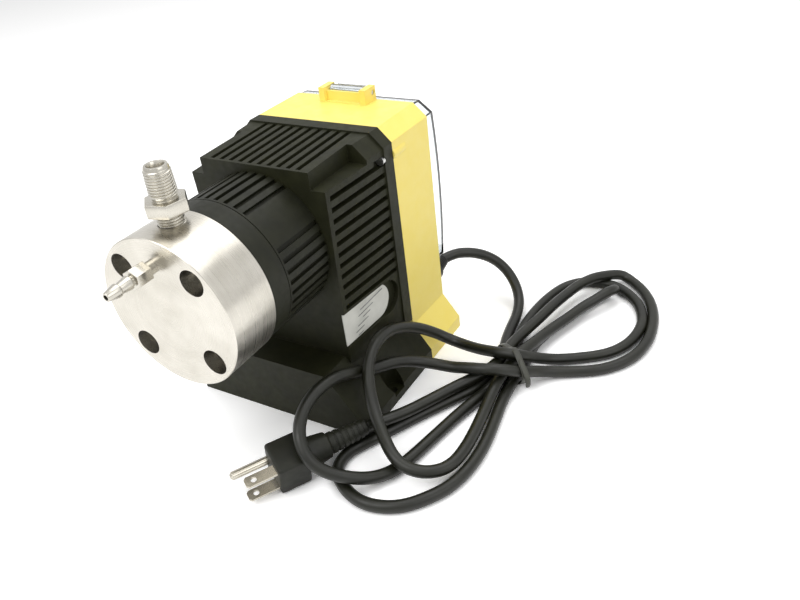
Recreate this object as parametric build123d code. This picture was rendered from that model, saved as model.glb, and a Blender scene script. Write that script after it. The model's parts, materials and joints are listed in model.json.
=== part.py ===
"""Solenoid-driven diaphragm metering pump with a stainless liquid end and a coiled mains lead.

Frame: +Y runs along the pump axis from the liquid end to the control panel, +Z is up, +X is
across. The origin is the centre of the base's underside. All lengths are in millimetres.
"""
import math
import os

from build123d import *

# ---------------------------------------------------------------- driving dimensions
# lengths along the pump axis
base_length = 120.0
rear_depth = 40.1
flange_depth = 8.8
fin_box_depth = 50.4
barrel_length = 34.4
adapter_length = 13.2
head_thickness = 30.1

# base and housings
axis_height = 108.1
base_width = 122.4
base_edge = 8.0
flare_angle = 54.0
step_height = 38.5
side_width = 99.0
housing_rise = 46.4
corner_width = 8.0
corner_drop = 7.9
box_front_width = 90.2
box_front_narrowing = 2.9
box_top_fall = 2.1
box_inset = 0.9
section_overlap = 10.0
housing_wall = 3.5
cavity_floor = 47.0
foot_cavity = 20.0
foot_wall = 4.0

# cooling fins of the front housing
fin_pitch = 6.35
fin_rows_top = 10
fin_slot = 2.9
fin_depth = 4.6
fin_lip = 1.8
side_fin_lip = 3.0
side_fin_pitch = 6.68
side_fin_rows = 11
side_fin_fall = 37.0
notch_half_width = 36.2
notch_fall = 11.6
notch_length = 36.0

# label recess
label_height = 22.0
label_gap = 3.1
label_length = 43.0
recess_length = 49.5
recess_depth = 1.3
recess_depth_rear = 3.4
label_thickness = 0.6

# barrel and drive
barrel_radius = 40.5
barrel_bore = 32.5
barrel_wall = 10.0
rib_count = 42
rib_slot = 2.6
rib_depth = 2.0
rib_lip = 1.2
pad_from = 30.0
pad_to = 56.0
seam_chamfer = 0.5
stroke = 1.25
shaft_radius = 4.0
running_gap = 0.05
fit_gap = 0.02

# liquid end
head_diameter = 82.5
bolt_circle = 63.5
screw_radius = 3.0
screw_head_radius = 5.0
screw_head_height = 6.0
washer_thickness = 1.2
washer_gap = 0.8
screw_socket_flats = 5.0
screw_socket_depth = 3.2
screw_engagement = 8.5
counterbore_radius = 7.0
counterbore_depth = 20.0
diaphragm_radius = 27.0
diaphragm_thickness = 2.9
chamber_radius = 18.0
chamber_depth = 3.0
chamber_floor_radius = 12.0
port_offset = 17.9
port_radius = 6.86
channel_radius = 2.5
ball_radius = 3.97
ball_lift = 1.5
seat_height = 4.5
seal_height = 2.4
discharge_rise = 28.85
discharge_thread = 15.2
discharge_hex = 11.1
hex_flats = 15.9
nipple_bore = 3.0
suction_hex = 5.0
suction_flats = 14.0
barb_height = 27.2
barb_length = 28.5
barb_flats = 9.5
barb_hex_length = 8.6
barb_neck = 5.2
barb_bore = 1.3

# rear housing, panel and cover
panel_setback = 12.0
panel_thickness = 3.0
cover_depth = 13.0
cover_low = 50.5
cover_wall = 2.0
hinge_radius = 1.5
hinge_setback = 2.8
hinge_rise = 5.0
lug_half_width = 16.6
knuckle_half_width = 12.0
stroke_knob_radius = 16.0
speed_knob_radius = 9.0
control_drop = 36.0
control_offset = 22.0

# mains lead
cord_radius = 3.5
gland_x = 42.0
gland_z = 38.5
gland_length = 17.0
gland_radius = 7.6
gland_engagement = 8.0
gland_flange = 4.0
gland_lip = 1.2
plug_size = 21.0
plug_body_length = 18.0
plug_length = 56.0

# ---------------------------------------------------------------- derived stations
rear_y = base_length / 2
seam_y = rear_y - rear_depth
flange_y = seam_y - flange_depth
box_y = flange_y - fin_box_depth
barrel_y = box_y - barrel_length
adapter_y = barrel_y - adapter_length
head_y = adapter_y - head_thickness
head_radius = head_diameter / 2
head_top = axis_height + head_radius
discharge_top = head_top + discharge_rise
housing_top = axis_height + housing_rise
box_front_top = housing_top - box_top_fall
notch_floor = housing_top - notch_fall
side_fin_low = axis_height - side_fin_fall
label_low = side_fin_low - label_gap - label_height
hinge_y = rear_y - hinge_setback
hinge_z = housing_top + hinge_rise
head_bottom = axis_height - head_radius
bolt_offset = bolt_circle / 2 / math.sqrt(2)
bolt_places = [(sx * bolt_offset, axis_height + sz * bolt_offset) for sx in (-1, 1) for sz in (-1, 1)]
port_y = head_y + port_offset
corner_z = housing_top - corner_drop
corner_x = side_width / 2 - corner_width
flare_slope = math.tan(math.radians(flare_angle))
panel_rear_y = rear_y - panel_setback
panel_y = panel_rear_y - panel_thickness

PARTS = {}


# ---------------------------------------------------------------- helpers
def keep(name, *solids):
    """File solids under a node's name, to be written as one STEP."""
    shapes = []
    for item in solids:
        shapes += list(item.solids())
    PARTS[name] = shapes


def cyl_y(radius, y0, y1, x=0.0, z=axis_height):
    """Cylinder along Y between two stations."""
    return Pos(x, (y0 + y1) / 2, z) * Rot(90, 0, 0) * Cylinder(radius, y1 - y0)


def cyl_z(radius, z0, z1, x=0.0, y=0.0):
    """Cylinder along Z between two heights."""
    return Pos(x, y, (z0 + z1) / 2) * Cylinder(radius, z1 - z0)


def cyl_x(radius, x0, x1, y=0.0, z=0.0):
    """Cylinder along X between two places."""
    return Pos((x0 + x1) / 2, y, z) * Rot(0, 90, 0) * Cylinder(radius, x1 - x0)


def block(x0, x1, y0, y1, z0, z1):
    """Box given by its two corners."""
    return Pos((x0 + x1) / 2, (y0 + y1) / 2, (z0 + z1) / 2) * Box(x1 - x0, y1 - y0, z1 - z0)


def hex_z(flats, z0, z1, x=0.0, y=0.0):
    """Hexagonal prism along Z, given by its width across flats."""
    sketch = RegularPolygon(flats / math.sqrt(3), 6)
    return Pos(x, y, z0) * extrude(sketch, z1 - z0)


def section_face(points, y):
    """Face at station y from the right-hand (x, z) points of a shape mirrored about x = 0."""
    right = [Vector(x, y, z) for x, z in points]
    left = [Vector(-x, y, z) for x, z in reversed(points)]
    return Face(Wire.make_polygon(right + left, close=True))


def prism_y(points, y0, y1):
    """Mirrored section extruded along Y."""
    return Solid.extrude(section_face(points, y0), Vector(0, y1 - y0, 0))


def loft_y(front, y0, rear, y1):
    """Straight loft between two mirrored sections."""
    return Solid.make_loft([section_face(front, y0).outer_wire(), section_face(rear, y1).outer_wire()], True)


def revolve_y(profile, x=0.0, z=axis_height):
    """Solid of revolution about a Y axis from (radius, y) points."""
    points = [Vector(r, y, 0) for r, y in profile]
    face = Face(Wire.make_polygon(points, close=True))
    return Pos(x, 0, z) * Solid.revolve(face, 360, Axis.Y)


def revolve_z(profile, x=0.0, y=0.0):
    """Solid of revolution about a Z axis from (radius, z) points."""
    points = [Vector(r, 0, z) for r, z in profile]
    face = Face(Wire.make_polygon(points, close=True))
    return Pos(x, y, 0) * Solid.revolve(face, 360, Axis.Z)


def housing_section(inset=0.0, low=0.0, drop=0.0):
    """Right half of the housings' outline above z = low, moved in by inset."""
    chamfer_inset = inset * math.tan(math.radians(22.5))
    return [
        (side_width / 2 - inset, low),
        (side_width / 2 - inset, corner_z - chamfer_inset - drop),
        (corner_x - chamfer_inset, housing_top - inset - drop),
    ]


def foot_section(top):
    """Right half of the flared foot, cut off level at the given height."""
    edge_x = base_width / 2
    top_x = edge_x - (top - base_edge) / flare_slope
    return [(edge_x, 0), (edge_x, base_edge), (top_x, top)]


def foot_pockets(y0, y1, top):
    """The hollows that a moulded foot has underneath, one each side of a centre rib."""
    inner = 3.0
    low_x = base_width / 2 - foot_wall - base_edge / 2
    high_x = low_x - top / flare_slope
    pockets = []
    for side in (-1, 1):
        points = [(side * inner, 0), (side * low_x, 0), (side * high_x, top), (side * inner, top)]
        face = Face(Wire.make_polygon([Vector(x, y0, z) for x, z in points], close=True))
        pockets.append(Solid.extrude(face, Vector(0, y1 - y0, 0)))
    return pockets


# ---------------------------------------------------------------- front housing
mount_x = base_width / 2 - 4.7
mount_y = flange_y - 32.5
mount_radius = 2.75
mount_floor = 5.0
mount_pocket = 7.0
mount_boss = 2.0
cavity_side = 7.6
cavity_roof = 11.4
cavity_corner = 8.0
gasket_inner = 7.4
gasket_outer = 5.4
gasket_depth = 1.4
through = 1.0


def front_housing():
    """Black moulding: flared foot, finned box and rear flange in one piece."""
    section_floor = step_height - section_overlap
    wide = side_width / 2 - box_inset
    front = [
        (box_front_width / 2 - box_front_narrowing, section_floor),
        (box_front_width / 2, box_front_top - corner_drop),
        (box_front_width / 2 - corner_width, box_front_top),
    ]
    rear = [
        (wide, section_floor),
        (wide, corner_z - box_inset),
        (wide - corner_width, housing_top - box_inset),
    ]
    body = prism_y(foot_section(step_height), -rear_y, seam_y)
    body += loft_y(front, box_y, rear, flange_y)
    body += prism_y(housing_section(low=section_floor), flange_y, seam_y)

    for side in (-1, 1):
        outer = side * side_width
        inner = side * notch_half_width
        body -= block(min(outer, inner), max(outer, inner), box_y - through, box_y + notch_length,
                      notch_floor, housing_top + through)
    for row in range(fin_rows_top):
        x = (row - (fin_rows_top - 1) / 2) * fin_pitch
        body -= block(x - fin_slot / 2, x + fin_slot / 2, box_y + fin_lip, flange_y,
                      box_front_top - fin_depth, housing_top + through)
    for row in range(side_fin_rows):
        z = side_fin_low + row * side_fin_pitch
        for side in (-1, 1):
            near = box_front_width / 2 - fin_depth
            far = side_width / 2 - fin_depth
            floor = Face(Wire.make_polygon([
                Vector(side * near, box_y + side_fin_lip, z - fin_slot / 2),
                Vector(side * side_width, box_y + side_fin_lip, z - fin_slot / 2),
                Vector(side * side_width, flange_y, z - fin_slot / 2),
                Vector(side * far, flange_y, z - fin_slot / 2)], close=True))
            body -= Solid.extrude(floor, Vector(0, 0, fin_slot))

    cavity_half = box_front_width / 2 - cavity_side
    cavity_top = box_front_top - cavity_roof
    cavity = [
        (cavity_half, cavity_floor),
        (cavity_half, cavity_top - cavity_corner),
        (cavity_half - cavity_corner, cavity_top),
    ]
    body -= prism_y(cavity, box_y + housing_wall, seam_y + through)
    body -= cyl_y(barrel_bore, box_y - through, box_y + housing_wall + through)
    for x, z in barrel_screw_places():
        radius = barrel_screw_radius + screw_clearance
        body -= cyl_y(radius, box_y - through, box_y + housing_wall + through, x, z)

    for pocket in foot_pockets(-rear_y + foot_wall, seam_y - foot_wall, foot_cavity):
        body -= pocket
    reach = mount_pocket + mount_boss
    for side in (-1, 1):
        boss = cyl_z(reach, 0, foot_cavity + mount_boss, side * mount_x, mount_y)
        body += boss & prism_y(foot_section(step_height), mount_y - reach, mount_y + reach)
        body -= cyl_z(mount_pocket, mount_floor, step_height, side * mount_x, mount_y)
        body -= cyl_z(mount_radius, -through, mount_floor + through, side * mount_x, mount_y)
    body -= label_recess()
    body -= gasket_ring(gasket_inner, gasket_outer, seam_y - gasket_depth, seam_y + through)
    for x, z, face in corner_screw_places():
        body -= cyl_y(corner_screw_radius + screw_clearance, face - through, seam_y + through, x, z)
    for x, z, face in corner_screw_places()[:2]:
        body -= cyl_y(corner_screw_head + head_room, face - corner_pocket, face, x, z)
    return body


screw_clearance = 0.3
head_room = 0.4
barrel_screw_radius = 2.0
barrel_screw_head = 3.5
barrel_screw_height = 3.0
barrel_screw_reach = 10.0
barrel_screw_hole = 12.0
barrel_screw_ring = 36.0
corner_screw_radius = 1.5
corner_screw_head = 2.6
corner_screw_sink = 1.0
corner_pocket = 10.0
corner_head_height = 2.4
corner_screw_reach = 10.0
top_screw_inset = 2.6
top_screw_fall = 15.2
foot_screw_x = base_width / 2 - 25.0
foot_screw_z = 10.0


def barrel_screw_places():
    """The four screws that hold the barrel to the box's front wall."""
    return [(barrel_screw_ring * math.cos(math.radians(a)),
             axis_height + barrel_screw_ring * math.sin(math.radians(a))) for a in (45, 135, 225, 315)]


def corner_screw_places():
    """The four screws between the housings as (x, z, y of the face under the head)."""
    top_x = side_width / 2 - top_screw_inset
    top_z = housing_top - top_screw_fall
    high = [(side * top_x, top_z, flange_y + corner_screw_sink) for side in (-1, 1)]
    return high + [(side * foot_screw_x, foot_screw_z, seam_y - foot_wall) for side in (-1, 1)]


def side_x(y, z):
    """Half width of the tapered box's side wall at a station and height."""
    span = box_front_top - corner_drop - (step_height - section_overlap)
    front = box_front_width / 2 - box_front_narrowing * (box_front_top - corner_drop - z) / span
    rear = side_width / 2 - box_inset
    return front + (rear - front) * (y - box_y) / fin_box_depth


def stadium(length, height, thickness):
    """Slab with one round end on the floor of the label recess, open at the box's front."""
    middle = label_low + label_height / 2
    rise = recess_depth_rear - recess_depth
    run = side_x(flange_y, middle) - side_x(box_y, middle) - rise
    angle = math.degrees(math.atan2(run, fin_box_depth))
    flat = block(0, thickness, 0, length - height / 2, -height / 2, height / 2)
    flat += cyl_x(height / 2, 0, thickness, length - height / 2, 0)
    return Pos(side_x(box_y, middle) - recess_depth, box_y, middle) * Rot(0, 0, -angle) * flat


def label_recess():
    """Pocket in the right-hand wall that takes the rating label."""
    room = stadium(recess_length, label_height, section_overlap)
    return room + Pos(0, -through, 0) * room


# ---------------------------------------------------------------- barrel and adapter
def solenoid_housing():
    """Round ribbed housing of the solenoid, bolted to the front of the finned box."""
    body = cyl_y(barrel_radius, barrel_y, box_y)
    body -= cyl_y(barrel_bore, barrel_y + barrel_wall, box_y + 1)
    body -= cyl_y(shaft_radius + 4, barrel_y - 1, barrel_y + barrel_wall + 1)
    for step in range(rib_count):
        angle = 360 / rib_count * step
        mirror = (180 - angle) % 360
        if pad_from < angle < pad_to or pad_from < mirror < pad_to:
            continue
        slot = block(barrel_radius - rib_depth, barrel_radius + through, barrel_y + rib_lip, box_y + through,
                     -rib_slot / 2, rib_slot / 2)
        body -= Pos(0, 0, axis_height) * Rot(0, -angle, 0) * slot
    for x, z in barrel_screw_places():
        body -= cyl_y(barrel_screw_radius, box_y - barrel_screw_hole, box_y + through, x, z)
    for x, z in bolt_places:
        body -= cyl_y(screw_radius, barrel_y - 1, barrel_y + barrel_wall - 1, x, z)
    return body


def adapter_ring():
    """Smooth spacer between the barrel and the liquid end, recessed for the diaphragm's rim."""
    body = cyl_y(barrel_radius, adapter_y, barrel_y)
    body = chamfer(body.edges().filter_by(GeomType.CIRCLE), seam_chamfer)
    body -= cyl_y(diaphragm_radius + 0.1, adapter_y - 1, adapter_y + diaphragm_thickness + 0.1)
    body -= cyl_y(diaphragm_radius - 5, adapter_y, barrel_y + 1)
    for x, z in bolt_places:
        body -= cyl_y(screw_radius + 0.3, adapter_y - 1, barrel_y + 1, x, z)
    return body


# ---------------------------------------------------------------- liquid end
seat_top = head_top - 10.85
seat_bottom = seat_top - seat_height
seal_bottom = seat_bottom - seal_height
ball_room = ball_radius + ball_lift + running_gap
ball_rise = math.sqrt(ball_radius ** 2 - (channel_radius + 0.3) ** 2)
discharge_ball_z = seat_top + ball_rise + 0.03
suction_seat_top = head_bottom + 12.65
suction_seat_bottom = suction_seat_top - seat_height
suction_seal_bottom = suction_seat_bottom - seal_height
suction_ball_z = suction_seat_top + ball_rise + 0.03
cage_radius = 4.6
channel_reach = 10.0
suction_hex_top = head_bottom - 0.1
suction_port_radius = 4.3
suction_relief_radius = suction_port_radius + 0.5


def pump_head():
    """Round stainless head with its chamber, valve pockets and counterbored bolt holes."""
    body = cyl_y(head_radius, head_y, adapter_y)
    edge = body.edges().filter_by(GeomType.CIRCLE)
    body = chamfer(edge, 0.4)
    body -= revolve_y([(0, adapter_y + through), (chamber_radius, adapter_y + through),
                       (chamber_radius, adapter_y), (chamber_floor_radius, adapter_y - chamber_depth),
                       (0, adapter_y - chamber_depth)])
    for x, z in bolt_places:
        body -= cyl_y(counterbore_radius, head_y - 1, head_y + counterbore_depth, x, z)
        body -= cyl_y(screw_radius + 0.3, head_y, adapter_y + 1, x, z)
    body -= cyl_z(port_radius + fit_gap, seal_bottom, head_top + 1, 0, port_y)
    body -= cyl_z(channel_radius, axis_height + channel_reach, seal_bottom + 1, 0, port_y)
    body -= cyl_z(port_radius + fit_gap, head_bottom - 1, suction_seat_top, 0, port_y)
    body -= cyl_z(cage_radius, suction_seat_top - through, suction_ball_z + ball_room, 0, port_y)
    body -= cyl_z(channel_radius, suction_ball_z, axis_height - channel_reach, 0, port_y)
    for side in (-1, 1):
        z = axis_height + side * channel_reach
        body -= cyl_y(channel_radius - 0.3, port_y, adapter_y, 0, z)
    body -= cyl_y(barb_stub_radius + fit_gap, head_y - 1, head_y + barb_stub, 0, axis_height + barb_height)
    body -= cyl_y(1.0, head_y, port_y, 0, axis_height + barb_height)
    return body


barb_stub = 8.0
barb_stub_radius = 3.2


def head_screws():
    """Four socket head screws with washers, sunk in the head's counterbores."""
    floor = head_y + counterbore_depth
    seat = floor - washer_thickness
    socket = extrude(RegularPolygon(screw_socket_flats / math.sqrt(3), 6), screw_socket_depth, both=True)
    solids = []
    for x, z in bolt_places:
        screw = cyl_y(screw_head_radius, seat - screw_head_height, seat, x, z)
        screw += cyl_y(screw_radius - fit_gap, seat - through, barrel_y + screw_engagement, x, z)
        screw -= Pos(x, seat - screw_head_height, z) * Rot(90, 0, 0) * socket
        washer = cyl_y(counterbore_radius - washer_gap, seat, floor, x, z)
        washer -= cyl_y(screw_radius + screw_clearance, seat - through, floor + through, x, z)
        solids += [screw, washer]
    return solids


def discharge_fitting():
    """Threaded outlet nipple whose lower end cages the discharge ball."""
    hex_top = discharge_top - discharge_thread
    hex_bottom = hex_top - discharge_hex
    body = cyl_z(port_radius, seat_top, hex_bottom, 0, port_y)
    body += hex_z(hex_flats, hex_bottom, hex_top, 0, port_y)
    body += revolve_z([(0, hex_top - 1), (port_radius, hex_top - 1), (port_radius, discharge_top - 1),
                       (port_radius - 1, discharge_top), (0, discharge_top)], 0, port_y)
    cage_top = discharge_ball_z + ball_room
    body -= cyl_z(cage_radius, seat_top - 1, cage_top, 0, port_y)
    body -= cyl_z(nipple_bore, cage_top - 1, discharge_top + 1, 0, port_y)
    return body - block(-1, 1, port_y - cage_radius, port_y + cage_radius, cage_top - 1, cage_top + 2)


def valve_seat(top):
    """Bushing with a sharp-edged bore that a ball closes."""
    body = cyl_z(port_radius, top - seat_height, top, 0, port_y)
    return body - cyl_z(channel_radius + 0.3, top - seat_height - 1, top + 1, 0, port_y)


def valve_seal(low):
    """Sealing ring under a valve seat."""
    body = cyl_z(port_radius, low, low + seal_height, 0, port_y)
    body -= cyl_z(port_radius - 2.2, low - 1, low + seal_height + 1, 0, port_y)
    return body


def suction_fitting():
    """Short threaded retainer under the head: a female inlet thread, relieved inside the head."""
    low = suction_hex_top - suction_hex
    body = cyl_z(port_radius, suction_hex_top - through, suction_seal_bottom, 0, port_y)
    body += hex_z(suction_flats, low, suction_hex_top, 0, port_y)
    body -= cyl_z(suction_port_radius, low - through, head_bottom, 0, port_y)
    return body - cyl_z(suction_relief_radius, head_bottom, suction_seal_bottom + through, 0, port_y)


def hose_barb():
    """Small barbed hose tail that screws into the head's face."""
    tip = head_y - barb_length
    z = axis_height + barb_height
    profile = [(barb_bore, tip), (2.6, tip), (3.4, tip + 5.5), (3.4, tip + 6.2), (2.6, tip + 6.2),
               (3.5, tip + 12.0), (3.5, tip + 12.8), (2.5, tip + 12.8), (2.5, head_y - 1), (3.6, head_y),
               (barb_stub_radius, head_y), (barb_stub_radius, head_y + barb_stub),
               (barb_bore, head_y + barb_stub)]
    body = revolve_y(profile, 0, z)
    nut = extrude(RegularPolygon(barb_flats / math.sqrt(3), 6), barb_hex_length)
    collar = Pos(0, head_y - barb_neck, z) * Rot(90, 0, 0) * nut
    return body + (collar - cyl_y(barb_bore + 0.7, tip, head_y, 0, z))


def diaphragm():
    """Flexible disc clamped at its rim between head and adapter."""
    front = adapter_y + 0.05
    return cyl_y(diaphragm_radius, front, front + diaphragm_thickness)


# ---------------------------------------------------------------- solenoid
pole_front = barrel_y + barrel_wall + 0.1
pole_disc = 4.0
hub_end = pole_front + 17.6
spring_pocket = 8.6
pocket_depth = 4.0
air_gap = 0.3
armature_front = hub_end + air_gap
armature_length = 22.0
armature_rear = armature_front + armature_length
armature_radius = 12.9
armature_pocket = 6.0
bobbin_bore = 13.15
bobbin_front = pole_front + pole_disc + 0.1
bobbin_length = 29.0
bobbin_rear = bobbin_front + bobbin_length
bobbin_flange = 1.5
bobbin_wall = 1.5
bobbin_rim = 1.0
bushing_radius = 6.0
coil_radius = 30.2
can_radius = 32.3
can_wall = 0.8
yoke_rear = bobbin_rear + 0.1 + pole_disc
shaft_front = adapter_y + diaphragm_thickness + 4.1
plate_radius = 17.0
plate_edge = 1.5
plate_hub = 11.0
plate_gap = 0.2


def pole_piece():
    """Fixed iron core with a disc flange, bored for the shaft bushing."""
    body = cyl_y(can_radius - can_wall - fit_gap, pole_front, pole_front + pole_disc)
    body += cyl_y(bobbin_bore - 0.15, pole_front, hub_end)
    body -= cyl_y(bushing_radius, pole_front - through, hub_end + through)
    return body - cyl_y(spring_pocket, hub_end - pocket_depth, hub_end + through)


def shaft_bushing():
    """Plain bearing that guides the drive shaft."""
    body = cyl_y(bushing_radius - fit_gap, pole_front, hub_end - pocket_depth - through)
    return body - cyl_y(shaft_radius + running_gap, pole_front - 1, hub_end)


def coil_bobbin():
    """Plastic spool of the coil."""
    body = cyl_y(bobbin_bore + bobbin_wall, bobbin_front, bobbin_rear)
    body += cyl_y(coil_radius + bobbin_rim, bobbin_front, bobbin_front + bobbin_flange)
    body += cyl_y(coil_radius + bobbin_rim, bobbin_rear - bobbin_flange, bobbin_rear)
    return body - cyl_y(bobbin_bore, bobbin_front - through, bobbin_rear + through)


def solenoid_coil():
    """Copper winding as one closed ring."""
    body = cyl_y(coil_radius, bobbin_front + bobbin_flange + fit_gap, bobbin_rear - bobbin_flange - fit_gap)
    return body - cyl_y(bobbin_bore + bobbin_wall + fit_gap, bobbin_front, bobbin_rear)


def solenoid_can():
    """Steel sleeve that closes the magnetic circuit round the coil."""
    body = cyl_y(can_radius, pole_front, yoke_rear)
    return body - cyl_y(can_radius - can_wall, pole_front - 1, yoke_rear + 1)


def yoke_plate():
    """Rear pole ring round the armature."""
    body = cyl_y(can_radius - can_wall - fit_gap, bobbin_rear + 0.1, yoke_rear)
    return body - cyl_y(armature_radius + 0.4, bobbin_rear, yoke_rear + 1)


def armature():
    """Sliding iron plunger."""
    body = cyl_y(armature_radius, armature_front, armature_rear)
    body -= cyl_y(spring_pocket, armature_front - 1, armature_front + armature_pocket)
    return body - cyl_y(shaft_radius, armature_front, armature_front + armature_pocket + 6)


def drive_shaft():
    """Shaft from the armature to the diaphragm's backing plate."""
    return cyl_y(shaft_radius, shaft_front, armature_front + armature_pocket + 6)


def diaphragm_plate():
    """Backing disc that pushes the diaphragm."""
    front = adapter_y + diaphragm_thickness + plate_gap
    return revolve_y([(0, front), (plate_radius - plate_edge, front), (plate_radius, front + plate_edge),
                      (plate_hub, shaft_front), (0, shaft_front)])


def return_spring():
    """Compression spring between pole piece and armature."""
    low = hub_end - pocket_depth + 0.3
    high = armature_front + armature_pocket - 0.3
    wire = 0.6
    turns = 3.5
    length = high - low - 2 * wire
    helix = Helix(pitch=length / turns, height=length, radius=6.9)
    path = Pos(0, low + wire, axis_height) * Rot(-90, 0, 0) * helix
    profile = Plane(origin=path @ 0, z_dir=path % 0) * Circle(wire)
    return sweep(profile, path)


# ---------------------------------------------------------------- stroke adjuster
bracket_depth = 29.4
bracket_rear = yoke_rear + bracket_depth
bracket_half = 24.0
bracket_height = 18.0
bracket_thickness = 3.0
screw_tip = armature_rear + stroke + running_gap
knob_front = rear_y - panel_setback + 1.6
knob_rear = rear_y + 5.6


def stroke_bracket():
    """Bent steel bracket on the solenoid that carries the stroke screw's thread."""
    y0 = yoke_rear
    z0 = axis_height - bracket_height / 2
    z1 = axis_height + bracket_height / 2
    body = block(-bracket_half, bracket_half, bracket_rear - bracket_thickness, bracket_rear, z0, z1)
    for side in (-1, 1):
        inner = side * (bracket_half - bracket_thickness)
        outer = side * bracket_half
        body += block(min(inner, outer), max(inner, outer), y0, bracket_rear, z0, z1)
    body += cyl_y(8.0, bracket_rear - 1, bracket_rear + 8)
    return body - cyl_y(shaft_radius + running_gap, bracket_rear - 10, bracket_rear + 10)


def stroke_screw():
    """Adjusting rod that stops the armature's return."""
    body = cyl_y(shaft_radius, screw_tip, knob_front + 6)
    return chamfer(body.edges().group_by(Axis.Y)[0], 0.5)


def fluted_knob(radius, y0, y1, x, z, flutes, bore, bore_depth):
    """Round knob with a skirt, grip flutes and a blind bore."""
    skirt = 2.0
    body = revolve_y([(0, y0), (radius, y0), (radius, y0 + skirt), (radius - 1.8, y0 + skirt + 0.6),
                      (radius - 2.8, y1 - 1), (radius - 3.8, y1), (0, y1)], x, z)
    for step in range(flutes):
        angle = math.radians(360 / flutes * (step + 0.5))
        reach = radius - 1.2
        body -= cyl_y(1.5, y0 + skirt + 0.6, y1 + 1, x + reach * math.cos(angle), z + reach * math.sin(angle))
    return body - cyl_y(bore, y0 - 1, y0 + bore_depth, x, z)


# ---------------------------------------------------------------- rear housing and panel
def rear_section(inset=0.0, low=0.0):
    """Right half of the rear housing's outline at its rear face."""
    return [(x + 0.5 * (x > corner_x), z) for x, z in housing_section(inset, low)]


lug_length = 11.5
lug_rise = 3.7
lug_floor = 0.7
lug_wall_front = 9.2
lug_wall_rear = 7.5
lug_wall_rise = 1.4
knuckle_gap = 0.4


def hinge_lug():
    """Two ears on the roof with a low wall between them, which take the hinge pin."""
    top = hinge_z + lug_rise
    gap = knuckle_half_width + knuckle_gap
    floor = housing_top + lug_floor
    lug = block(-lug_half_width, lug_half_width, rear_y - lug_length, rear_y, housing_top - housing_wall, top)
    lug -= block(-gap, gap, rear_y - lug_wall_rear, rear_y + through, floor, top + through)
    lug -= block(-gap, gap, rear_y - lug_length - through, rear_y - lug_wall_front, floor, top + through)
    return lug - block(-gap, gap, rear_y - lug_length, rear_y, hinge_z + lug_wall_rise, top + through)


def rear_housing():
    """Yellow moulding behind the flange: foot, side walls, panel recess and hinge lug."""
    wall = housing_wall
    body = prism_y(foot_section(step_height), seam_y, rear_y)
    body += loft_y(housing_section(low=20), seam_y, rear_section(low=20), rear_y)
    body -= prism_y(housing_section(wall + panel_ledge, low=26), seam_y - 1, panel_y + 1)
    body -= prism_y(housing_section(wall, low=cover_low + 1.5), panel_y, rear_y + 1)
    body -= block(-gland_x - 4, gland_x + 3.5, seam_y - 1, rear_y - wall, 26, cover_low - 2.5)
    for pocket in foot_pockets(seam_y + foot_wall, rear_y - foot_wall, foot_cavity - 3):
        body -= pocket
    body += hinge_lug()
    body -= cyl_x(hinge_radius + fit_gap, -lug_half_width - 1, lug_half_width + 1, hinge_y, hinge_z)
    body -= cyl_y(gland_thread + fit_gap, rear_y - 10, rear_y + 1, gland_x, gland_z)
    body -= cyl_y(connector_radius + fit_gap, rear_y - 10, rear_y + 1, connector_x, gland_z)
    for x, z, face in corner_screw_places():
        body += cyl_y(corner_screw_radius + screw_boss, seam_y, seam_y + screw_boss_length, x, z)
        body -= cyl_y(corner_screw_radius, face, seam_y + screw_boss_length - housing_wall / 2, x, z)
    for x, z in panel_screw_places():
        body -= cyl_y(panel_screw_radius, panel_y - panel_screw_reach - through, panel_y + through, x, z)
    return body


panel_screw_radius = 1.4
panel_screw_inset = 3.6
panel_screw_head = 2.6
panel_screw_height = 1.6
panel_screw_reach = 7.0
panel_ledge = 7.0
screw_boss = 2.2
screw_boss_length = 13.0
connector_x = -28.0
connector_radius = 7.0
gland_thread = 6.4


def panel_screw_places():
    """The four screws that hold the control panel to the ledge in the rear housing."""
    x = side_width / 2 - housing_wall - panel_screw_inset
    return [(-x, corner_z - 10), (x, corner_z - 10), (-x, cover_low + 8), (x, cover_low + 8)]


def control_panel():
    """Plate that carries the controls, set back inside the rear housing."""
    section = housing_section(housing_wall + panel_gap, low=cover_low + panel_lift)
    body = prism_y(section, panel_y + fit_gap, panel_rear_y)
    row = axis_height - control_drop
    holes = [(shaft_radius + through, 0, axis_height), (pot_bush + bush_gap, -control_offset, row),
             (switch_bush + bush_gap, control_offset, row), (lamp_radius + fit_gap, 0, row)]
    holes += [(panel_screw_radius + screw_clearance, x, z) for x, z in panel_screw_places()]
    for radius, x, z in holes:
        body -= cyl_y(radius, panel_y - through, panel_rear_y + through, x, z)
    return body


lamp_radius = 2.5
panel_gap = 0.25
panel_lift = 1.8
pot_bush = 3.5
switch_bush = 3.4
bush_gap = 0.1
lever_half = 1.7
lever_radius = 1.2
lever_tip_radius = 1.9
lever_length = 13.0
lever_pivot = panel_y + 1.5
board_y = panel_y - 11.0
board_thickness = 1.6
board_half = 36.0
board_low = axis_height - 50.1
board_high = axis_height + 29.9
post_radius = 3.0
post_inset = 8.0
capacitor = (22.0, board_high - 10.0, 6.0, 14.0)
transformer = (-32.0, -10.0, board_high - 20.0, board_high - 4.0, 12.0)
driver_chip = (-30.0, -18.0, board_low + 8.0, board_low + 26.0, 5.0)


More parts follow.
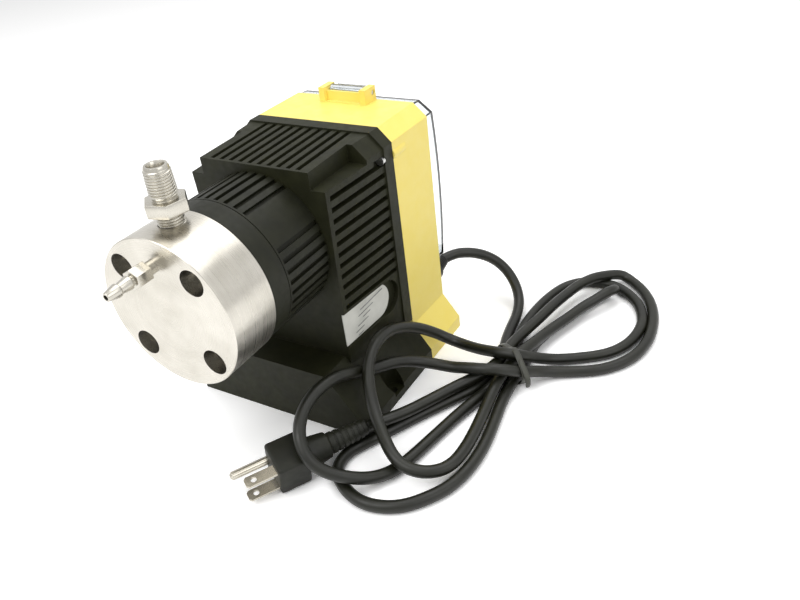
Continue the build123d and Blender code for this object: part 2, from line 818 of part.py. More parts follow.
def circuit_board():
    """Driver board behind the panel, with its larger components."""
    body = block(-board_half, board_half, board_y, board_y + board_thickness, board_low, board_high)
    body -= cyl_y(shaft_radius + post_radius, board_y - through, board_y + board_thickness + through)
    x, z, radius, depth = capacitor
    body += cyl_y(radius, board_y - depth, board_y, x, z)
    for x0, x1, z0, z1, depth in (transformer, driver_chip):
        body += block(x0, x1, board_y - depth, board_y, z0, z1)
    post_x = board_half - post_radius - through
    for x in (-post_x, post_x):
        for z in (board_low + post_inset, board_high - post_inset):
            body += cyl_y(post_radius, board_y + board_thickness, panel_y, x, z)
    return body


def speed_pot():
    """Potentiometer on the board with its bush in the panel."""
    x = -control_offset
    z = axis_height - control_drop
    body = cyl_y(8.0, board_y + board_thickness, panel_y - 0.1, x, z)
    body += cyl_y(pot_bush, panel_y - 0.1, panel_rear_y + 0.8, x, z)
    return body - cyl_y(1.55, panel_y - 4, rear_y, x, z)


def speed_knob():
    """Knob of the pulse rate potentiometer with its spindle."""
    x = -control_offset
    z = axis_height - control_drop
    body = fluted_knob(speed_knob_radius, panel_rear_y + 1.2, panel_rear_y + 13, x, z, 12, 1.0, 0.5)
    return body + cyl_y(1.5, panel_y - 3.5, panel_rear_y + 3, x, z)


def mode_switch():
    """Body and bush of the toggle switch."""
    x = control_offset
    z = axis_height - control_drop
    body = block(x - 6, x + 6, board_y + board_thickness, panel_y - 0.1, z - 6.5, z + 6.5)
    body += cyl_y(switch_bush, panel_y - 0.1, panel_rear_y + 4, x, z)
    return body - lever_room(x, z)


def lever_room(x, z):
    """Room for the toggle lever to tilt up and down."""
    half = switch_bush - 0.5
    return block(x - lever_half, x + lever_half, panel_y - 4, rear_y, z - half, z + half)


def switch_lever():
    """Toggle lever, pivoted on a round cross pin inside the switch bush."""
    x = control_offset
    z = axis_height - control_drop
    foot = lever_pivot - 2 * lever_radius
    tip = panel_rear_y + lever_length
    body = revolve_y([(0, foot), (lever_radius, foot), (lever_radius, panel_rear_y + 4),
                      (lever_tip_radius, tip), (lever_radius, tip + through), (0, tip + through)], x, z)
    half = lever_half - running_gap
    return body + cyl_x(lever_half, x - half, x + half, lever_pivot, z)


def pulse_lamp():
    """Indicator lens that flashes with each stroke."""
    z = axis_height - control_drop
    body = cyl_y(lamp_radius, panel_y - 3, panel_rear_y + 0.6, 0, z)
    body += cyl_y(lamp_radius + 0.8, panel_rear_y, panel_rear_y + 0.6, 0, z)
    return body + (Pos(0, panel_rear_y + 0.4, z) * Sphere(lamp_radius - 0.1))


def pulse_connector():
    """Round signal socket with a screwed cap in the rear face."""
    body = cyl_y(connector_radius, rear_y - 9, rear_y + 1, connector_x, gland_z)
    body += cyl_y(connector_radius + 1.6, rear_y + 0.02, rear_y + 6, connector_x, gland_z)
    return body


# ---------------------------------------------------------------- clear cover
cover_gap = 0.3
cover_bulge = 280.0
arm_thickness = 2.9
knuckle_radius = 3.4
tab_half_width = 8.0
tab_drop = 4.0


def cover_body(inset):
    """Solid form of the cover, moved in by inset on every side but the open one."""
    rear = rear_y + cover_depth - inset
    front_section = rear_section(0.5 + inset, cover_low + inset)
    back_section = rear_section(1.8 + inset, cover_low + inset)
    start = rear_y + cover_gap - (through if inset else 0)
    form = loft_y(front_section, start, back_section, rear)
    middle = (cover_low + housing_top) / 2
    return form & cyl_x(cover_bulge, -side_width, side_width, rear - cover_bulge, middle)


def panel_cover():
    """Clear hinged cover over the controls with its knuckle and finger tab."""
    shell = cover_body(0) - cover_body(cover_wall)
    half = knuckle_half_width
    start = rear_y + cover_gap
    end = start + arm_thickness
    shell += block(-half, half, start, end, housing_top - cover_wall, hinge_z + through)
    shell += cyl_x(knuckle_radius, -half, half, hinge_y, hinge_z)
    shell += block(-half, half, hinge_y, end, hinge_z - knuckle_radius / 2, hinge_z + knuckle_radius / 2)
    shell += block(-tab_half_width, tab_half_width, start, end, cover_low - tab_drop, cover_low + through)
    return shell - cyl_x(hinge_radius + running_gap, -half - through, half + through, hinge_y, hinge_z)


def hinge_pin():
    """Steel pin through the lug's ears."""
    return cyl_x(hinge_radius, -lug_half_width + 0.6, lug_half_width - 0.6, hinge_y, hinge_z)


# ---------------------------------------------------------------- fasteners
def corner_screws():
    """Four screws that draw the two housings together through the flange."""
    solids = []
    for x, z, face in corner_screw_places():
        screw = cyl_y(corner_screw_head, face - corner_head_height, face, x, z)
        screw += cyl_y(corner_screw_radius - fit_gap, face - through / 2, seam_y + corner_screw_reach, x, z)
        solids.append(screw)
    return solids


def barrel_screws():
    """Four screws from inside the box into the barrel."""
    solids = []
    inner = box_y + housing_wall
    for x, z in barrel_screw_places():
        screw = cyl_y(barrel_screw_head, inner, inner + barrel_screw_height, x, z)
        screw += cyl_y(barrel_screw_radius - fit_gap, box_y - barrel_screw_reach, inner + through / 2, x, z)
        solids.append(screw)
    return solids


def panel_screws():
    """Four small screws in the control panel."""
    solids = []
    for x, z in panel_screw_places():
        screw = cyl_y(panel_screw_head, panel_rear_y, panel_rear_y + panel_screw_height, x, z)
        shank = panel_screw_radius - fit_gap
        screw += cyl_y(shank, panel_y - panel_screw_reach, panel_rear_y + through / 2, x, z)
        solids.append(screw)
    return solids


# ---------------------------------------------------------------- mains lead
plug_heading = -120.5
plug_roll = -14.0
plug_face = (35.2, -111.0, 12.9)


def place_on_plug(shape):
    """Turn a shape drawn with +Y out of the plug's face and +X to its earth pin into place."""
    return Pos(*plug_face) * Rot(0, 0, plug_heading - 90) * Rot(0, plug_roll, 0) * shape


def plug_body():
    """Moulded plug body with its tapered grip and strain relief."""
    half = plug_size / 2
    body = block(-half, half, -plug_body_length, 0, -half, half)
    body = chamfer(body.edges().filter_by(Axis.Y), 1.5)
    grip = revolve_y([(0, -plug_body_length + 2), (7.5, -plug_body_length + 2), (6.5, -34.0), (5.4, -36.0),
                      (4.6, -plug_length), (0, -plug_length)], 0, 0)
    return place_on_plug(body + grip)


def plug_blades():
    """Two flat blades."""
    blades = [block(-8.2, -1.85, 0, 17.0, side * 6.35 - 0.75, side * 6.35 + 0.75) for side in (-1, 1)]
    return [place_on_plug(blade) for blade in blades]


def plug_pin():
    """Round earth pin."""
    body = cyl_y(2.4, 0, 21.4, 6.9, 0)
    return place_on_plug(chamfer(body.edges().group_by(Axis.Y)[-1], 1.2))


def tube(points, radius):
    """Round tube along straight runs joined by the largest tangent arcs that the runs allow."""
    places = [Vector(*p) for p in points]
    radii = []
    for before, here, after in zip(places, places[1:], places[2:]):
        turn = math.radians((here - before).get_angle(after - here))
        run = min((here - before).length, (after - here).length)
        radii.append(0.45 * run / math.tan(turn / 2))
    path = FilletPolyline(*places, radius=radii)
    profile = Plane(origin=path @ 0, z_dir=path % 0) * Circle(radius)
    solid = sweep(profile, path)
    print("arc radii", [round(r, 1) for r in radii], "length", round(path.length, 1),
          "volume ratio", round(solid.volume / (math.pi * radius ** 2 * path.length), 4))
    return solid


lead_route = [
    (42.0, 77.0, 38.5), (45.9, 84.5, 39.6), (53.0, 92.0, 38.4), (60.3, 98.6, 35.0),
    (67.6, 103.2, 30.0), (74.0, 105.3, 24.0), (80.2, 104.6, 17.6), (86.1, 100.4, 11.6),
    (91.3, 92.2, 7.2), (95.6, 79.5, 5.0), (99.8, 64.0, 5.2), (103.0, 51.0, 6.6),
]
plug_lead_route = [
    (63.93, -62.45, 12.9), (69.6, -53.9, 12.2), (77.0, -42.4, 11.0), (84.4, -27.4, 9.8),
    (91.8, -12.0, 9.2), (99.6, 3.2, 9.4), (105.6, 14.0, 9.8),
]
foot_loop_route = [
    (106.0, 33.6, 11.0), (98.0, 33.6, 10.6), (87.5, 32.9, 10.8), (75.6, 30.6, 13.4),
    (65.4, 24.8, 19.6), (58.4, 13.8, 28.0), (54.2, 3.4, 34.6), (51.7, -9.4, 38.8),
    (51.8, -23.2, 40.4), (52.9, -34.6, 37.6), (56.2, -43.4, 32.6), (61.8, -51.6, 26.0),
    (70.4, -60.8, 20.6), (79.4, -68.8, 16.4), (88.4, -76.0, 13.4), (96.4, -78.9, 10.8),
    (104.4, -77.9, 9.2), (111.2, -74.6, 8.4), (116.8, -68.8, 8.2), (119.4, -60.0, 8.2),
    (119.4, -45.8, 8.0), (117.2, -27.0, 7.6), (114.4, -10.0, 7.4), (112.4, 6.0, 7.4),
    (113.4, 20.0, 7.4),
]
plug_loop_route = [
    (113.6, 22.6, 11.2), (107.6, 16.9, 10.6), (98.0, 14.4, 10.2), (85.4, 12.2, 10.4),
    (73.8, 6.6, 13.6), (65.2, -4.2, 18.8), (58.6, -18.0, 25.6), (53.6, -31.4, 31.0),
    (49.8, -45.6, 37.4), (46.6, -59.8, 41.2), (43.8, -72.0, 41.6), (42.8, -82.8, 39.2),
    (44.4, -92.6, 35.4), (48.4, -99.8, 30.6), (54.0, -104.2, 25.0), (60.4, -104.9, 19.4),
    (68.0, -102.4, 15.0), (75.8, -98.0, 11.6), (82.6, -91.6, 7.8), (88.0, -82.4, 4.6),
    (91.9, -71.4, 3.6), (94.9, -58.8, 3.8), (97.9, -42.7, 3.6), (100.6, -24.0, 3.8),
    (104.0, -7.0, 4.4), (107.6, 9.0, 4.8), (110.6, 21.0, 5.0),
]
right_outer_loop = [
    (106.1, 44.0), (107.9, 69.7), (109.8, 97.4), (113.8, 119.7), (122.4, 136.8), (133.3, 147.9),
    (143.0, 151.4), (154.5, 148.5), (165.7, 137.6), (173.7, 122.3), (178.4, 106.8), (180.9, 90.0),
    (180.0, 75.0), (175.8, 61.5), (168.2, 50.0), (157.5, 41.4), (143.9, 35.9), (132.4, 32.6),
    (123.9, 29.6),
]
right_inner_loop = [
    (114.3, 58.8), (116.6, 83.1), (120.8, 110.2), (126.9, 130.0), (133.3, 136.6), (143.3, 138.8),
    (153.6, 134.5), (162.5, 124.5), (170.2, 111.0), (174.0, 96.0), (172.6, 83.8), (168.6, 72.1),
    (161.0, 62.4), (150.4, 54.0), (136.4, 48.6), (122.0, 50.0),
]
hairpin = [(119.0, 40.0), (119.7, 58.8), (124.0, 78.0), (130.0, 94.0), (137.0, 108.0), (144.3, 117.0)]
floor_loop = [
    (118.0, 16.0), (119.8, 8.5), (119.8, -3.6), (122.8, -20.4), (125.3, -36.9), (126.1, -51.5),
    (124.8, -65.9), (121.0, -78.2), (114.4, -88.4), (107.1, -96.7), (98.2, -101.8), (87.6, -104.1),
    (78.4, -102.3), (70.2, -98.4), (62.4, -92.5), (58.9, -84.3), (59.2, -75.0), (63.6, -66.4),
    (69.4, -56.0), (76.8, -41.9), (84.7, -27.3), (93.4, -12.1), (102.8, 2.8), (108.0, 12.0),
]
tie_place = (114.5, 30.0)
tie_heading = 46.0
tie_thickness = 1.2
tie_width = 4.6
bundle_width = 28.0
bundle_height = 14.0
bundle_length = 16.0
bundle_fan = [
    (99.0, 54.0), (99.0, 20.0), (104.0, 6.0), (123.0, 6.0), (127.0, 26.0), (126.0, 44.0), (112.0, 56.0),
]


def floor_face(points):
    """Flat face on the floor from (x, y) points."""
    return Face(Wire.make_polygon([Vector(x, y, 0) for x, y in points], close=True))


def floor_ring(points, width):
    """One flat turn of cord on the floor along a closed line of points."""
    middle = floor_face(points)
    return extrude(offset(middle, width) - offset(middle, -width), 2 * cord_radius, dir=(0, 0, 1))


def place_on_tie(shape):
    """Turn a shape drawn with +X along the bundle into place at the tie."""
    return Pos(*tie_place, 0) * Rot(0, 0, tie_heading) * shape


def tie_ring():
    """The band round the bundle, before its knot is added."""
    half = bundle_width / 2
    outer = block(-tie_width / 2, tie_width / 2, -half - tie_thickness, half + tie_thickness,
                  0, bundle_height + 2 * tie_thickness)
    inner = block(-tie_width, tie_width, -half, half, tie_thickness, bundle_height + tie_thickness)
    return outer - inner


def cord_tie():
    """Flat band tied round the middle of the hank, with its knot at one side."""
    half = bundle_width / 2 + tie_thickness
    knot = block(-3.5, 3.5, -half - 3.0, -half, bundle_height - 7, bundle_height + 1)
    return place_on_tie(tie_ring() + knot)


def cord_hank():
    """Outer shape of the tied turns that lie on the surface."""
    lobe = extrude(offset(floor_face(right_outer_loop), cord_radius), 2 * cord_radius, dir=(0, 0, 1))
    lobe -= extrude(offset(floor_face(right_inner_loop), -cord_radius), 2 * cord_radius, dir=(0, 0, 1))
    body = lobe + cord_band(hairpin, 2 * cord_radius, 3 * cord_radius)
    body += floor_ring(floor_loop, cord_radius)
    body += extrude(floor_face(bundle_fan), 2 * cord_radius + 1, dir=(0, 0, 1))
    body += place_on_tie(block(-bundle_length / 2, bundle_length / 2, -bundle_width / 2, bundle_width / 2,
                               tie_thickness, tie_thickness + bundle_height))
    half = bundle_width / 2 + tie_thickness
    knot_room = block(-3.5, 3.5, -half - 3.0, -half, bundle_height - 7, bundle_height + 1)
    return body - place_on_tie(tie_ring()) - place_on_tie(knot_room)


def cord_band(points, width, height):
    """Flat band that follows an open line of floor points."""
    left = []
    right = []
    for i, (x, y) in enumerate(points):
        ahead = points[min(i + 1, len(points) - 1)]
        behind = points[max(i - 1, 0)]
        dx = ahead[0] - behind[0]
        dy = ahead[1] - behind[1]
        size = math.hypot(dx, dy)
        left.append(Vector(x - dy / size * width / 2, y + dx / size * width / 2, 0))
        right.append(Vector(x + dy / size * width / 2, y - dx / size * width / 2, 0))
    face = Face(Wire.make_polygon(left + right[::-1], close=True))
    return Solid.extrude(face, Vector(0, 0, height))


def strain_relief():
    """Moulded gland in the rear face, from which the mains lead leaves."""
    inner = rear_y - gland_engagement
    face = rear_y + fit_gap
    shoulder = rear_y + gland_flange
    end = rear_y + gland_length
    return revolve_y([(0, inner), (gland_thread, inner), (gland_thread, face), (gland_radius, face),
                      (gland_radius, shoulder), (gland_radius - through, shoulder + through),
                      (cord_radius + gland_lip, end), (0, end)], gland_x, gland_z)


def nameplate():
    """Bare label plate in the recess of the side wall."""
    return stadium(label_length, label_height - 0.8, label_thickness)


def gasket_ring(inner, outer, y0, y1):
    """Closed ring between two insets of the housings' outline."""
    low = 24.0
    return (prism_y(housing_section(outer, low=low), y0, y1)
            - prism_y(housing_section(inner, low=low + inner - outer), y0 - 1, y1 + 1))


def housing_gasket():
    """Sealing ring between the two housings, set in a groove of the front one."""
    return gasket_ring(gasket_inner, gasket_outer, seam_y - gasket_depth, seam_y)


def write_parts():
    """Write each node to its own STEP file."""
    os.makedirs("parts", exist_ok=True)
    for name, solids in PARTS.items():
        shape = solids[0] if len(solids) == 1 else Compound(children=solids)
        export_step(shape, f"parts/{name}.step")


def build():
    """Make every node."""
    keep("front_housing", front_housing())
    keep("solenoid_housing", solenoid_housing())
    keep("adapter_ring", adapter_ring())
    keep("pump_head", pump_head())
    keep("head_screws", *head_screws())
    keep("discharge_fitting", discharge_fitting())
    keep("discharge_seat", valve_seat(seat_top))
    keep("discharge_seal", valve_seal(seal_bottom))
    keep("discharge_ball", Pos(0, port_y, discharge_ball_z) * Sphere(ball_radius))
    keep("suction_fitting", suction_fitting())
    keep("suction_seat", valve_seat(suction_seat_top))
    keep("suction_seal", valve_seal(suction_seal_bottom))
    keep("suction_ball", Pos(0, port_y, suction_ball_z) * Sphere(ball_radius))
    keep("hose_barb", hose_barb())
    keep("diaphragm", diaphragm())
    keep("diaphragm_plate", diaphragm_plate())
    keep("drive_shaft", drive_shaft())
    keep("armature", armature())
    keep("pole_piece", pole_piece())
    keep("shaft_bushing", shaft_bushing())
    keep("coil_bobbin", coil_bobbin())
    keep("solenoid_coil", solenoid_coil())
    keep("solenoid_can", solenoid_can())
    keep("yoke_plate", yoke_plate())
    keep("return_spring", return_spring())
    keep("stroke_bracket", stroke_bracket())
    keep("stroke_screw", stroke_screw())
    keep("stroke_knob", fluted_knob(stroke_knob_radius, knob_front, knob_rear, 0, axis_height, 18,
                                    shaft_radius + fit_gap, 6.2))
    keep("rear_housing", rear_housing())
    keep("control_panel", control_panel())
    keep("circuit_board", circuit_board())
    keep("speed_pot", speed_pot())
    keep("speed_knob", speed_knob())
    keep("mode_switch", mode_switch())
    keep("switch_lever", switch_lever())
    keep("pulse_lamp", pulse_lamp())
    keep("pulse_connector", pulse_connector())
    keep("panel_cover", panel_cover())
    keep("hinge_pin", hinge_pin())
    keep("corner_screws", *corner_screws())
    keep("barrel_screws", *barrel_screws())
    keep("panel_screws", *panel_screws())
    keep("strain_relief", strain_relief())
    keep("nameplate", nameplate())
    keep("housing_gasket", housing_gasket())
    keep("plug_body", plug_body())
    keep("plug_blades", *plug_blades())
    keep("plug_earth_pin", plug_pin())
    keep("cord_lead", tube(lead_route, cord_radius))
    keep("cord_plug_lead", tube(plug_lead_route, cord_radius))
    keep("cord_loops", tube(foot_loop_route, cord_radius), tube(plug_loop_route, cord_radius))
    keep("cord_hank", cord_hank())
    keep("cord_tie", cord_tie())
    write_parts()


if __name__ == "__main__":
    build()
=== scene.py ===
"""Dressed model of a diaphragm metering pump: finishes, threads, printing and the mains lead."""

import json
import logging
import math
from dataclasses import dataclass
from enum import Enum
from typing import Iterable, Sequence

import bmesh
import bpy
from mathutils import Matrix, Vector


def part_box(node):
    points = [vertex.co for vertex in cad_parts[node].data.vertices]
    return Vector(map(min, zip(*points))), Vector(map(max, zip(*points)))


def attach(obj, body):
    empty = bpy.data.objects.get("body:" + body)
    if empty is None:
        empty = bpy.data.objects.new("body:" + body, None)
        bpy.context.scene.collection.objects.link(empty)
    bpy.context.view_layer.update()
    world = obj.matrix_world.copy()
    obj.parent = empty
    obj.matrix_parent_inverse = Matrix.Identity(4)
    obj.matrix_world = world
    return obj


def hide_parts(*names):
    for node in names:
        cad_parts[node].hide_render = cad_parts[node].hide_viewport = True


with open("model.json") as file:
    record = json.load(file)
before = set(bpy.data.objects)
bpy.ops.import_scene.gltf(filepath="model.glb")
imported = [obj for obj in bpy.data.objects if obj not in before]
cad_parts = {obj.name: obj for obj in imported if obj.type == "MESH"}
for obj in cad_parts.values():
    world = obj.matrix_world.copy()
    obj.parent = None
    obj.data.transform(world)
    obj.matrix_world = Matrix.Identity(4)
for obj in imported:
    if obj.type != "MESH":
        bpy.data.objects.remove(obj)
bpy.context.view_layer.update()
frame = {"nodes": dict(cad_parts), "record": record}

LOG = logging.getLogger("metering_pump")
logging.basicConfig(level=logging.INFO, format="%(message)s")

MM = 0.001
TINY = 0.001 * MM
Pair = tuple[float, float]
Point = tuple[float, float, float]
Colour = tuple[float, float, float, float]

# Where a noise's factor, which gathers round a half, starts and ends a change of colour or roughness.
MOTTLE_STOPS: Pair = (0.35, 0.65)
STAIN_STOPS: Pair = (0.3, 0.7)
LINE_STOPS: Pair = (0.25, 0.75)
DUST_STOPS: Pair = (0.35, 0.75)

# ---------------------------------------------------------------- places shared with the frame
HEAD_LOW, HEAD_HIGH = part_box("pump_head")
AXIS_Z = (HEAD_LOW.z + HEAD_HIGH.z) / 2
PORT_LOW, PORT_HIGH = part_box("discharge_fitting")
PORT_Y = (PORT_LOW.y + PORT_HIGH.y) / 2
BARB_LOW, BARB_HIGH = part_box("hose_barb")
BARB_Z = (BARB_LOW.z + BARB_HIGH.z) / 2


# ---------------------------------------------------------------- colour and shader helpers
def linear(code: str) -> Colour:
    """Turn an sRGB hex colour into linear light.

    Args:
        code: six hexadecimal digits, such as "F2D94E".

    Returns:
        Red, green, blue and an alpha of one.
    """
    channels = [int(code[i:i + 2], 16) / 255 for i in (0, 2, 4)]
    lin = [c / 12.92 if c <= 0.04045 else ((c + 0.055) / 1.055) ** 2.4 for c in channels]
    return (lin[0], lin[1], lin[2], 1.0)


class Nodes:
    """A node tree with one helper for adding nodes."""

    def __init__(self, tree: bpy.types.NodeTree) -> None:
        """Take the tree that the nodes go into.

        Args:
            tree: the node tree of a material or a world.
        """
        self.tree = tree

    def add(self, kind: str, inputs: dict[str | int, object] | None = None,
            **settings: object) -> bpy.types.Node:
        """Add a node, set its properties and fill or link its inputs.

        Args:
            kind: the node's type name.
            inputs: socket name or number to a value, or to another node's output socket.
            **settings: attributes of the node.

        Returns:
            The new node.
        """
        node = self.tree.nodes.new(kind)
        for key, value in settings.items():
            setattr(node, key, value)
        for key, value in (inputs or {}).items():
            self.feed(node, key, value)
        return node

    def feed(self, node: bpy.types.Node, socket: str | int, value: object) -> None:
        """Set a socket's value, or link it to another node's output.

        Args:
            node: the node that owns the socket.
            socket: the socket's name or number.
            value: a plain value or an output socket.
        """
        if isinstance(value, bpy.types.NodeSocket):
            self.tree.links.new(value, node.inputs[socket])
        else:
            node.inputs[socket].default_value = value

    def either(self, first: bpy.types.NodeSocket, second: bpy.types.NodeSocket) -> bpy.types.NodeSocket:
        """Join two yes-or-no factors into one that is on where either is on.

        Args:
            first: a factor of zero or one.
            second: another such factor.

        Returns:
            The joined factor's socket.
        """
        return self.add("ShaderNodeMath", {0: first, 1: second}, operation="MAXIMUM").outputs[0]


class Shader(Nodes):
    """A material's node tree, with the patterns that the finishes share."""

    def __init__(self, name: str) -> None:
        """Make a new material.

        Args:
            name: the material's name, after the real material.
        """
        self.material = bpy.data.materials.new(name)
        self.material.use_nodes = True
        super().__init__(self.material.node_tree)
        self.surface = self.tree.nodes["Principled BSDF"]
        self.coordinates = self.add("ShaderNodeTexCoord").outputs["Object"]

    def set(self, **values: object) -> None:
        """Set sockets of the surface shader.

        Args:
            **values: socket names, with underscores for spaces, to values or output sockets.
        """
        for key, value in values.items():
            self.feed(self.surface, key.replace("_", " "), value)

    def noise(self, size_mm: float, detail: float = 3.0,
              stretch: Point = (1, 1, 1)) -> bpy.types.NodeSocket:
        """Noise whose features are about size_mm across, stretched along an axis if asked.

        Args:
            size_mm: feature size in millimetres.
            detail: octaves of the noise.
            stretch: scale of the coordinates along x, y and z.

        Returns:
            The noise's factor socket.
        """
        mapping = self.add("ShaderNodeMapping", {"Vector": self.coordinates, "Scale": stretch})
        texture = self.add("ShaderNodeTexNoise", {"Vector": mapping.outputs[0], "Scale": 1 / (size_mm * MM),
                                                  "Detail": detail})
        return texture.outputs["Fac"]

    def ramp(self, factor: bpy.types.NodeSocket, stops: Pair, start: Colour | float,
             end: Colour | float) -> bpy.types.NodeSocket:
        """Map a factor between two stops to a colour or grey.

        Args:
            factor: the input socket.
            stops: the factors at which the start ends and the end begins.
            start: colour or grey value below the first stop.
            end: colour or grey value above the second stop.

        Returns:
            The ramp's colour socket.
        """
        node = self.add("ShaderNodeValToRGB", {"Fac": factor})
        for element, place, value in zip(node.color_ramp.elements, stops, (start, end)):
            element.position = place
            element.color = value if isinstance(value, tuple) else (value, value, value, 1.0)
        return node.outputs["Color"]

    def bump(self, height: bpy.types.NodeSocket, depth_mm: float, edge_mm: float = 0.0) -> None:
        """Drive the surface's normal from a height, over softly rounded edges if asked.

        Args:
            height: the height socket.
            depth_mm: height of the relief in millimetres.
            edge_mm: radius at which the sharp edges catch the light.
        """
        inputs = {"Height": height, "Distance": depth_mm * MM, "Strength": 1.0}
        if edge_mm:
            inputs["Normal"] = self.add("ShaderNodeBevel", {"Radius": edge_mm * MM}, samples=4).outputs[0]
        self.set(Normal=self.add("ShaderNodeBump", inputs).outputs[0])


# ---------------------------------------------------------------- finishes
@dataclass(frozen=True)
class Plastic:
    """Finish of a moulded plastic part: its colour, its worn colour and its moulded grain."""

    name: str
    colour: str
    worn: str
    roughness: float
    grain_mm: float
    grain_depth_mm: float
    edge_mm: float = 0.35
    specular: float = 0.5
    mottle_mm: float = 9.0
    sheen_mm: float = 4.0
    polish: float = 0.05
    wear: float = 0.07

    def build(self) -> bpy.types.Material:
        """Make the material: slight mottling, a moulded grain and lightly rounded edges.

        Returns:
            The finished material.
        """
        shader = Shader(self.name)
        mottle = shader.noise(self.mottle_mm, 4.0)
        shader.set(Base_Color=shader.ramp(mottle, MOTTLE_STOPS, linear(self.colour), linear(self.worn)))
        sheen = shader.noise(self.sheen_mm, 5.0)
        shader.set(Roughness=shader.ramp(sheen, STAIN_STOPS, self.roughness - self.polish,
                                         self.roughness + self.wear))
        shader.set(Specular_IOR_Level=self.specular)
        shader.bump(shader.noise(self.grain_mm, 2.0), self.grain_depth_mm, self.edge_mm)
        return shader.material


@dataclass(frozen=True)
class Metal:
    """Finish of a machined metal part: its colour and its tool lines."""

    name: str
    colour: str
    roughness: float
    line_mm: float
    line_depth_mm: float
    stretch: Point = (1, 1, 1)
    edge_mm: float = 0.15
    stain_mm: float = 14.0
    stain_depth: float = 0.14
    polish: float = 0.06
    wear: float = 0.08

    def build(self) -> bpy.types.Material:
        """Make the material: fine tool lines, faint stains and bright edges.

        Returns:
            The finished material.
        """
        shader = Shader(self.name)
        stain = shader.noise(self.stain_mm, 5.0)
        clean = linear(self.colour)
        stained = tuple(c * (1 - self.stain_depth) for c in clean[:3]) + (1.0,)
        shader.set(Base_Color=shader.ramp(stain, STAIN_STOPS, stained, clean))
        shader.set(Metallic=1.0)
        lines = shader.noise(self.line_mm, 3.0, self.stretch)
        shader.set(Roughness=shader.ramp(lines, LINE_STOPS, self.roughness - self.polish,
                                         self.roughness + self.wear))
        shader.bump(lines, self.line_depth_mm, self.edge_mm)
        return shader.material


@dataclass(frozen=True)
class TurnedSteel:
    """Stainless steel turned about the pump axis: ring marks on the face, fine bands round the rim."""

    name: str
    stained: str
    clean: str
    smoothest: float = 0.24
    roughest: float = 0.36
    rings_per_mm: float = 2.6
    ring_depth_mm: float = 0.006
    edge_mm: float = 0.25
    stain_mm: float = 16.0

    def build(self) -> bpy.types.Material:
        """Make the material from the distance to the pump axis and the place along it.

        Returns:
            The finished material.
        """
        shader = Shader(self.name)
        centred = shader.add("ShaderNodeVectorMath", {0: shader.coordinates, 1: (0, 0, -AXIS_Z)},
                             operation="ADD")
        parts = shader.add("ShaderNodeSeparateXYZ", {0: centred.outputs[0]})
        flat = shader.add("ShaderNodeCombineXYZ", {0: parts.outputs[0], 2: parts.outputs[2]})
        radius = shader.add("ShaderNodeVectorMath", {0: flat.outputs[0]}, operation="LENGTH")
        ring_place = shader.add("ShaderNodeCombineXYZ", {0: radius.outputs["Value"], 1: parts.outputs[1]})
        rings = shader.add("ShaderNodeTexNoise", {"Vector": ring_place.outputs[0], "Detail": 4.0,
                                                  "Scale": self.rings_per_mm / MM}).outputs["Fac"]
        stain = shader.noise(self.stain_mm, 4.0)
        shader.set(Base_Color=shader.ramp(stain, STAIN_STOPS, linear(self.stained), linear(self.clean)))
        shader.set(Metallic=1.0, Anisotropic=0.5)
        shader.set(Roughness=shader.ramp(rings, STAIN_STOPS, self.smoothest, self.roughest))
        shader.bump(rings, self.ring_depth_mm, self.edge_mm)
        return shader.material


@dataclass(frozen=True)
class ClearPlastic:
    """Clear moulded polycarbonate with a little haze."""

    name: str
    tint: str
    refraction: float = 1.49
    smoothest: float = 0.02
    roughest: float = 0.05
    haze_mm: float = 25.0
    ripple_mm: float = 30.0
    ripple_depth_mm: float = 0.01

    def build(self) -> bpy.types.Material:
        """Make the material: see-through, with a faint haze and ripple.

        Returns:
            The finished material.
        """
        shader = Shader(self.name)
        shader.set(Base_Color=linear(self.tint), Transmission_Weight=1.0, IOR=self.refraction)
        haze = shader.noise(self.haze_mm)
        shader.set(Roughness=shader.ramp(haze, STAIN_STOPS, self.smoothest, self.roughest))
        shader.bump(shader.noise(self.ripple_mm, 1.0), self.ripple_depth_mm)
        return shader.material


@dataclass(frozen=True)
class CordJacket:
    """Extruded flexible cord jacket with a soft sheen and faint dust."""

    name: str
    colour: str
    dusty: str
    smoothest: float = 0.34
    roughest: float = 0.48
    specular: float = 0.4
    dust_mm: float = 18.0
    sheen_mm: float = 6.0
    grain_mm: float = 1.2
    grain_depth_mm: float = 0.006

    def build(self) -> bpy.types.Material:
        """Make the material: dust on the colour, a varying sheen and a fine grain.

        Returns:
            The finished material.
        """
        shader = Shader(self.name)
        dust = shader.noise(self.dust_mm, 5.0)
        shader.set(Base_Color=shader.ramp(dust, DUST_STOPS, linear(self.colour), linear(self.dusty)))
        sheen = shader.noise(self.sheen_mm, 4.0)
        shader.set(Roughness=shader.ramp(sheen, STAIN_STOPS, self.smoothest, self.roughest))
        shader.set(Specular_IOR_Level=self.specular)
        shader.bump(shader.noise(self.grain_mm, 2.0), self.grain_depth_mm)
        return shader.material


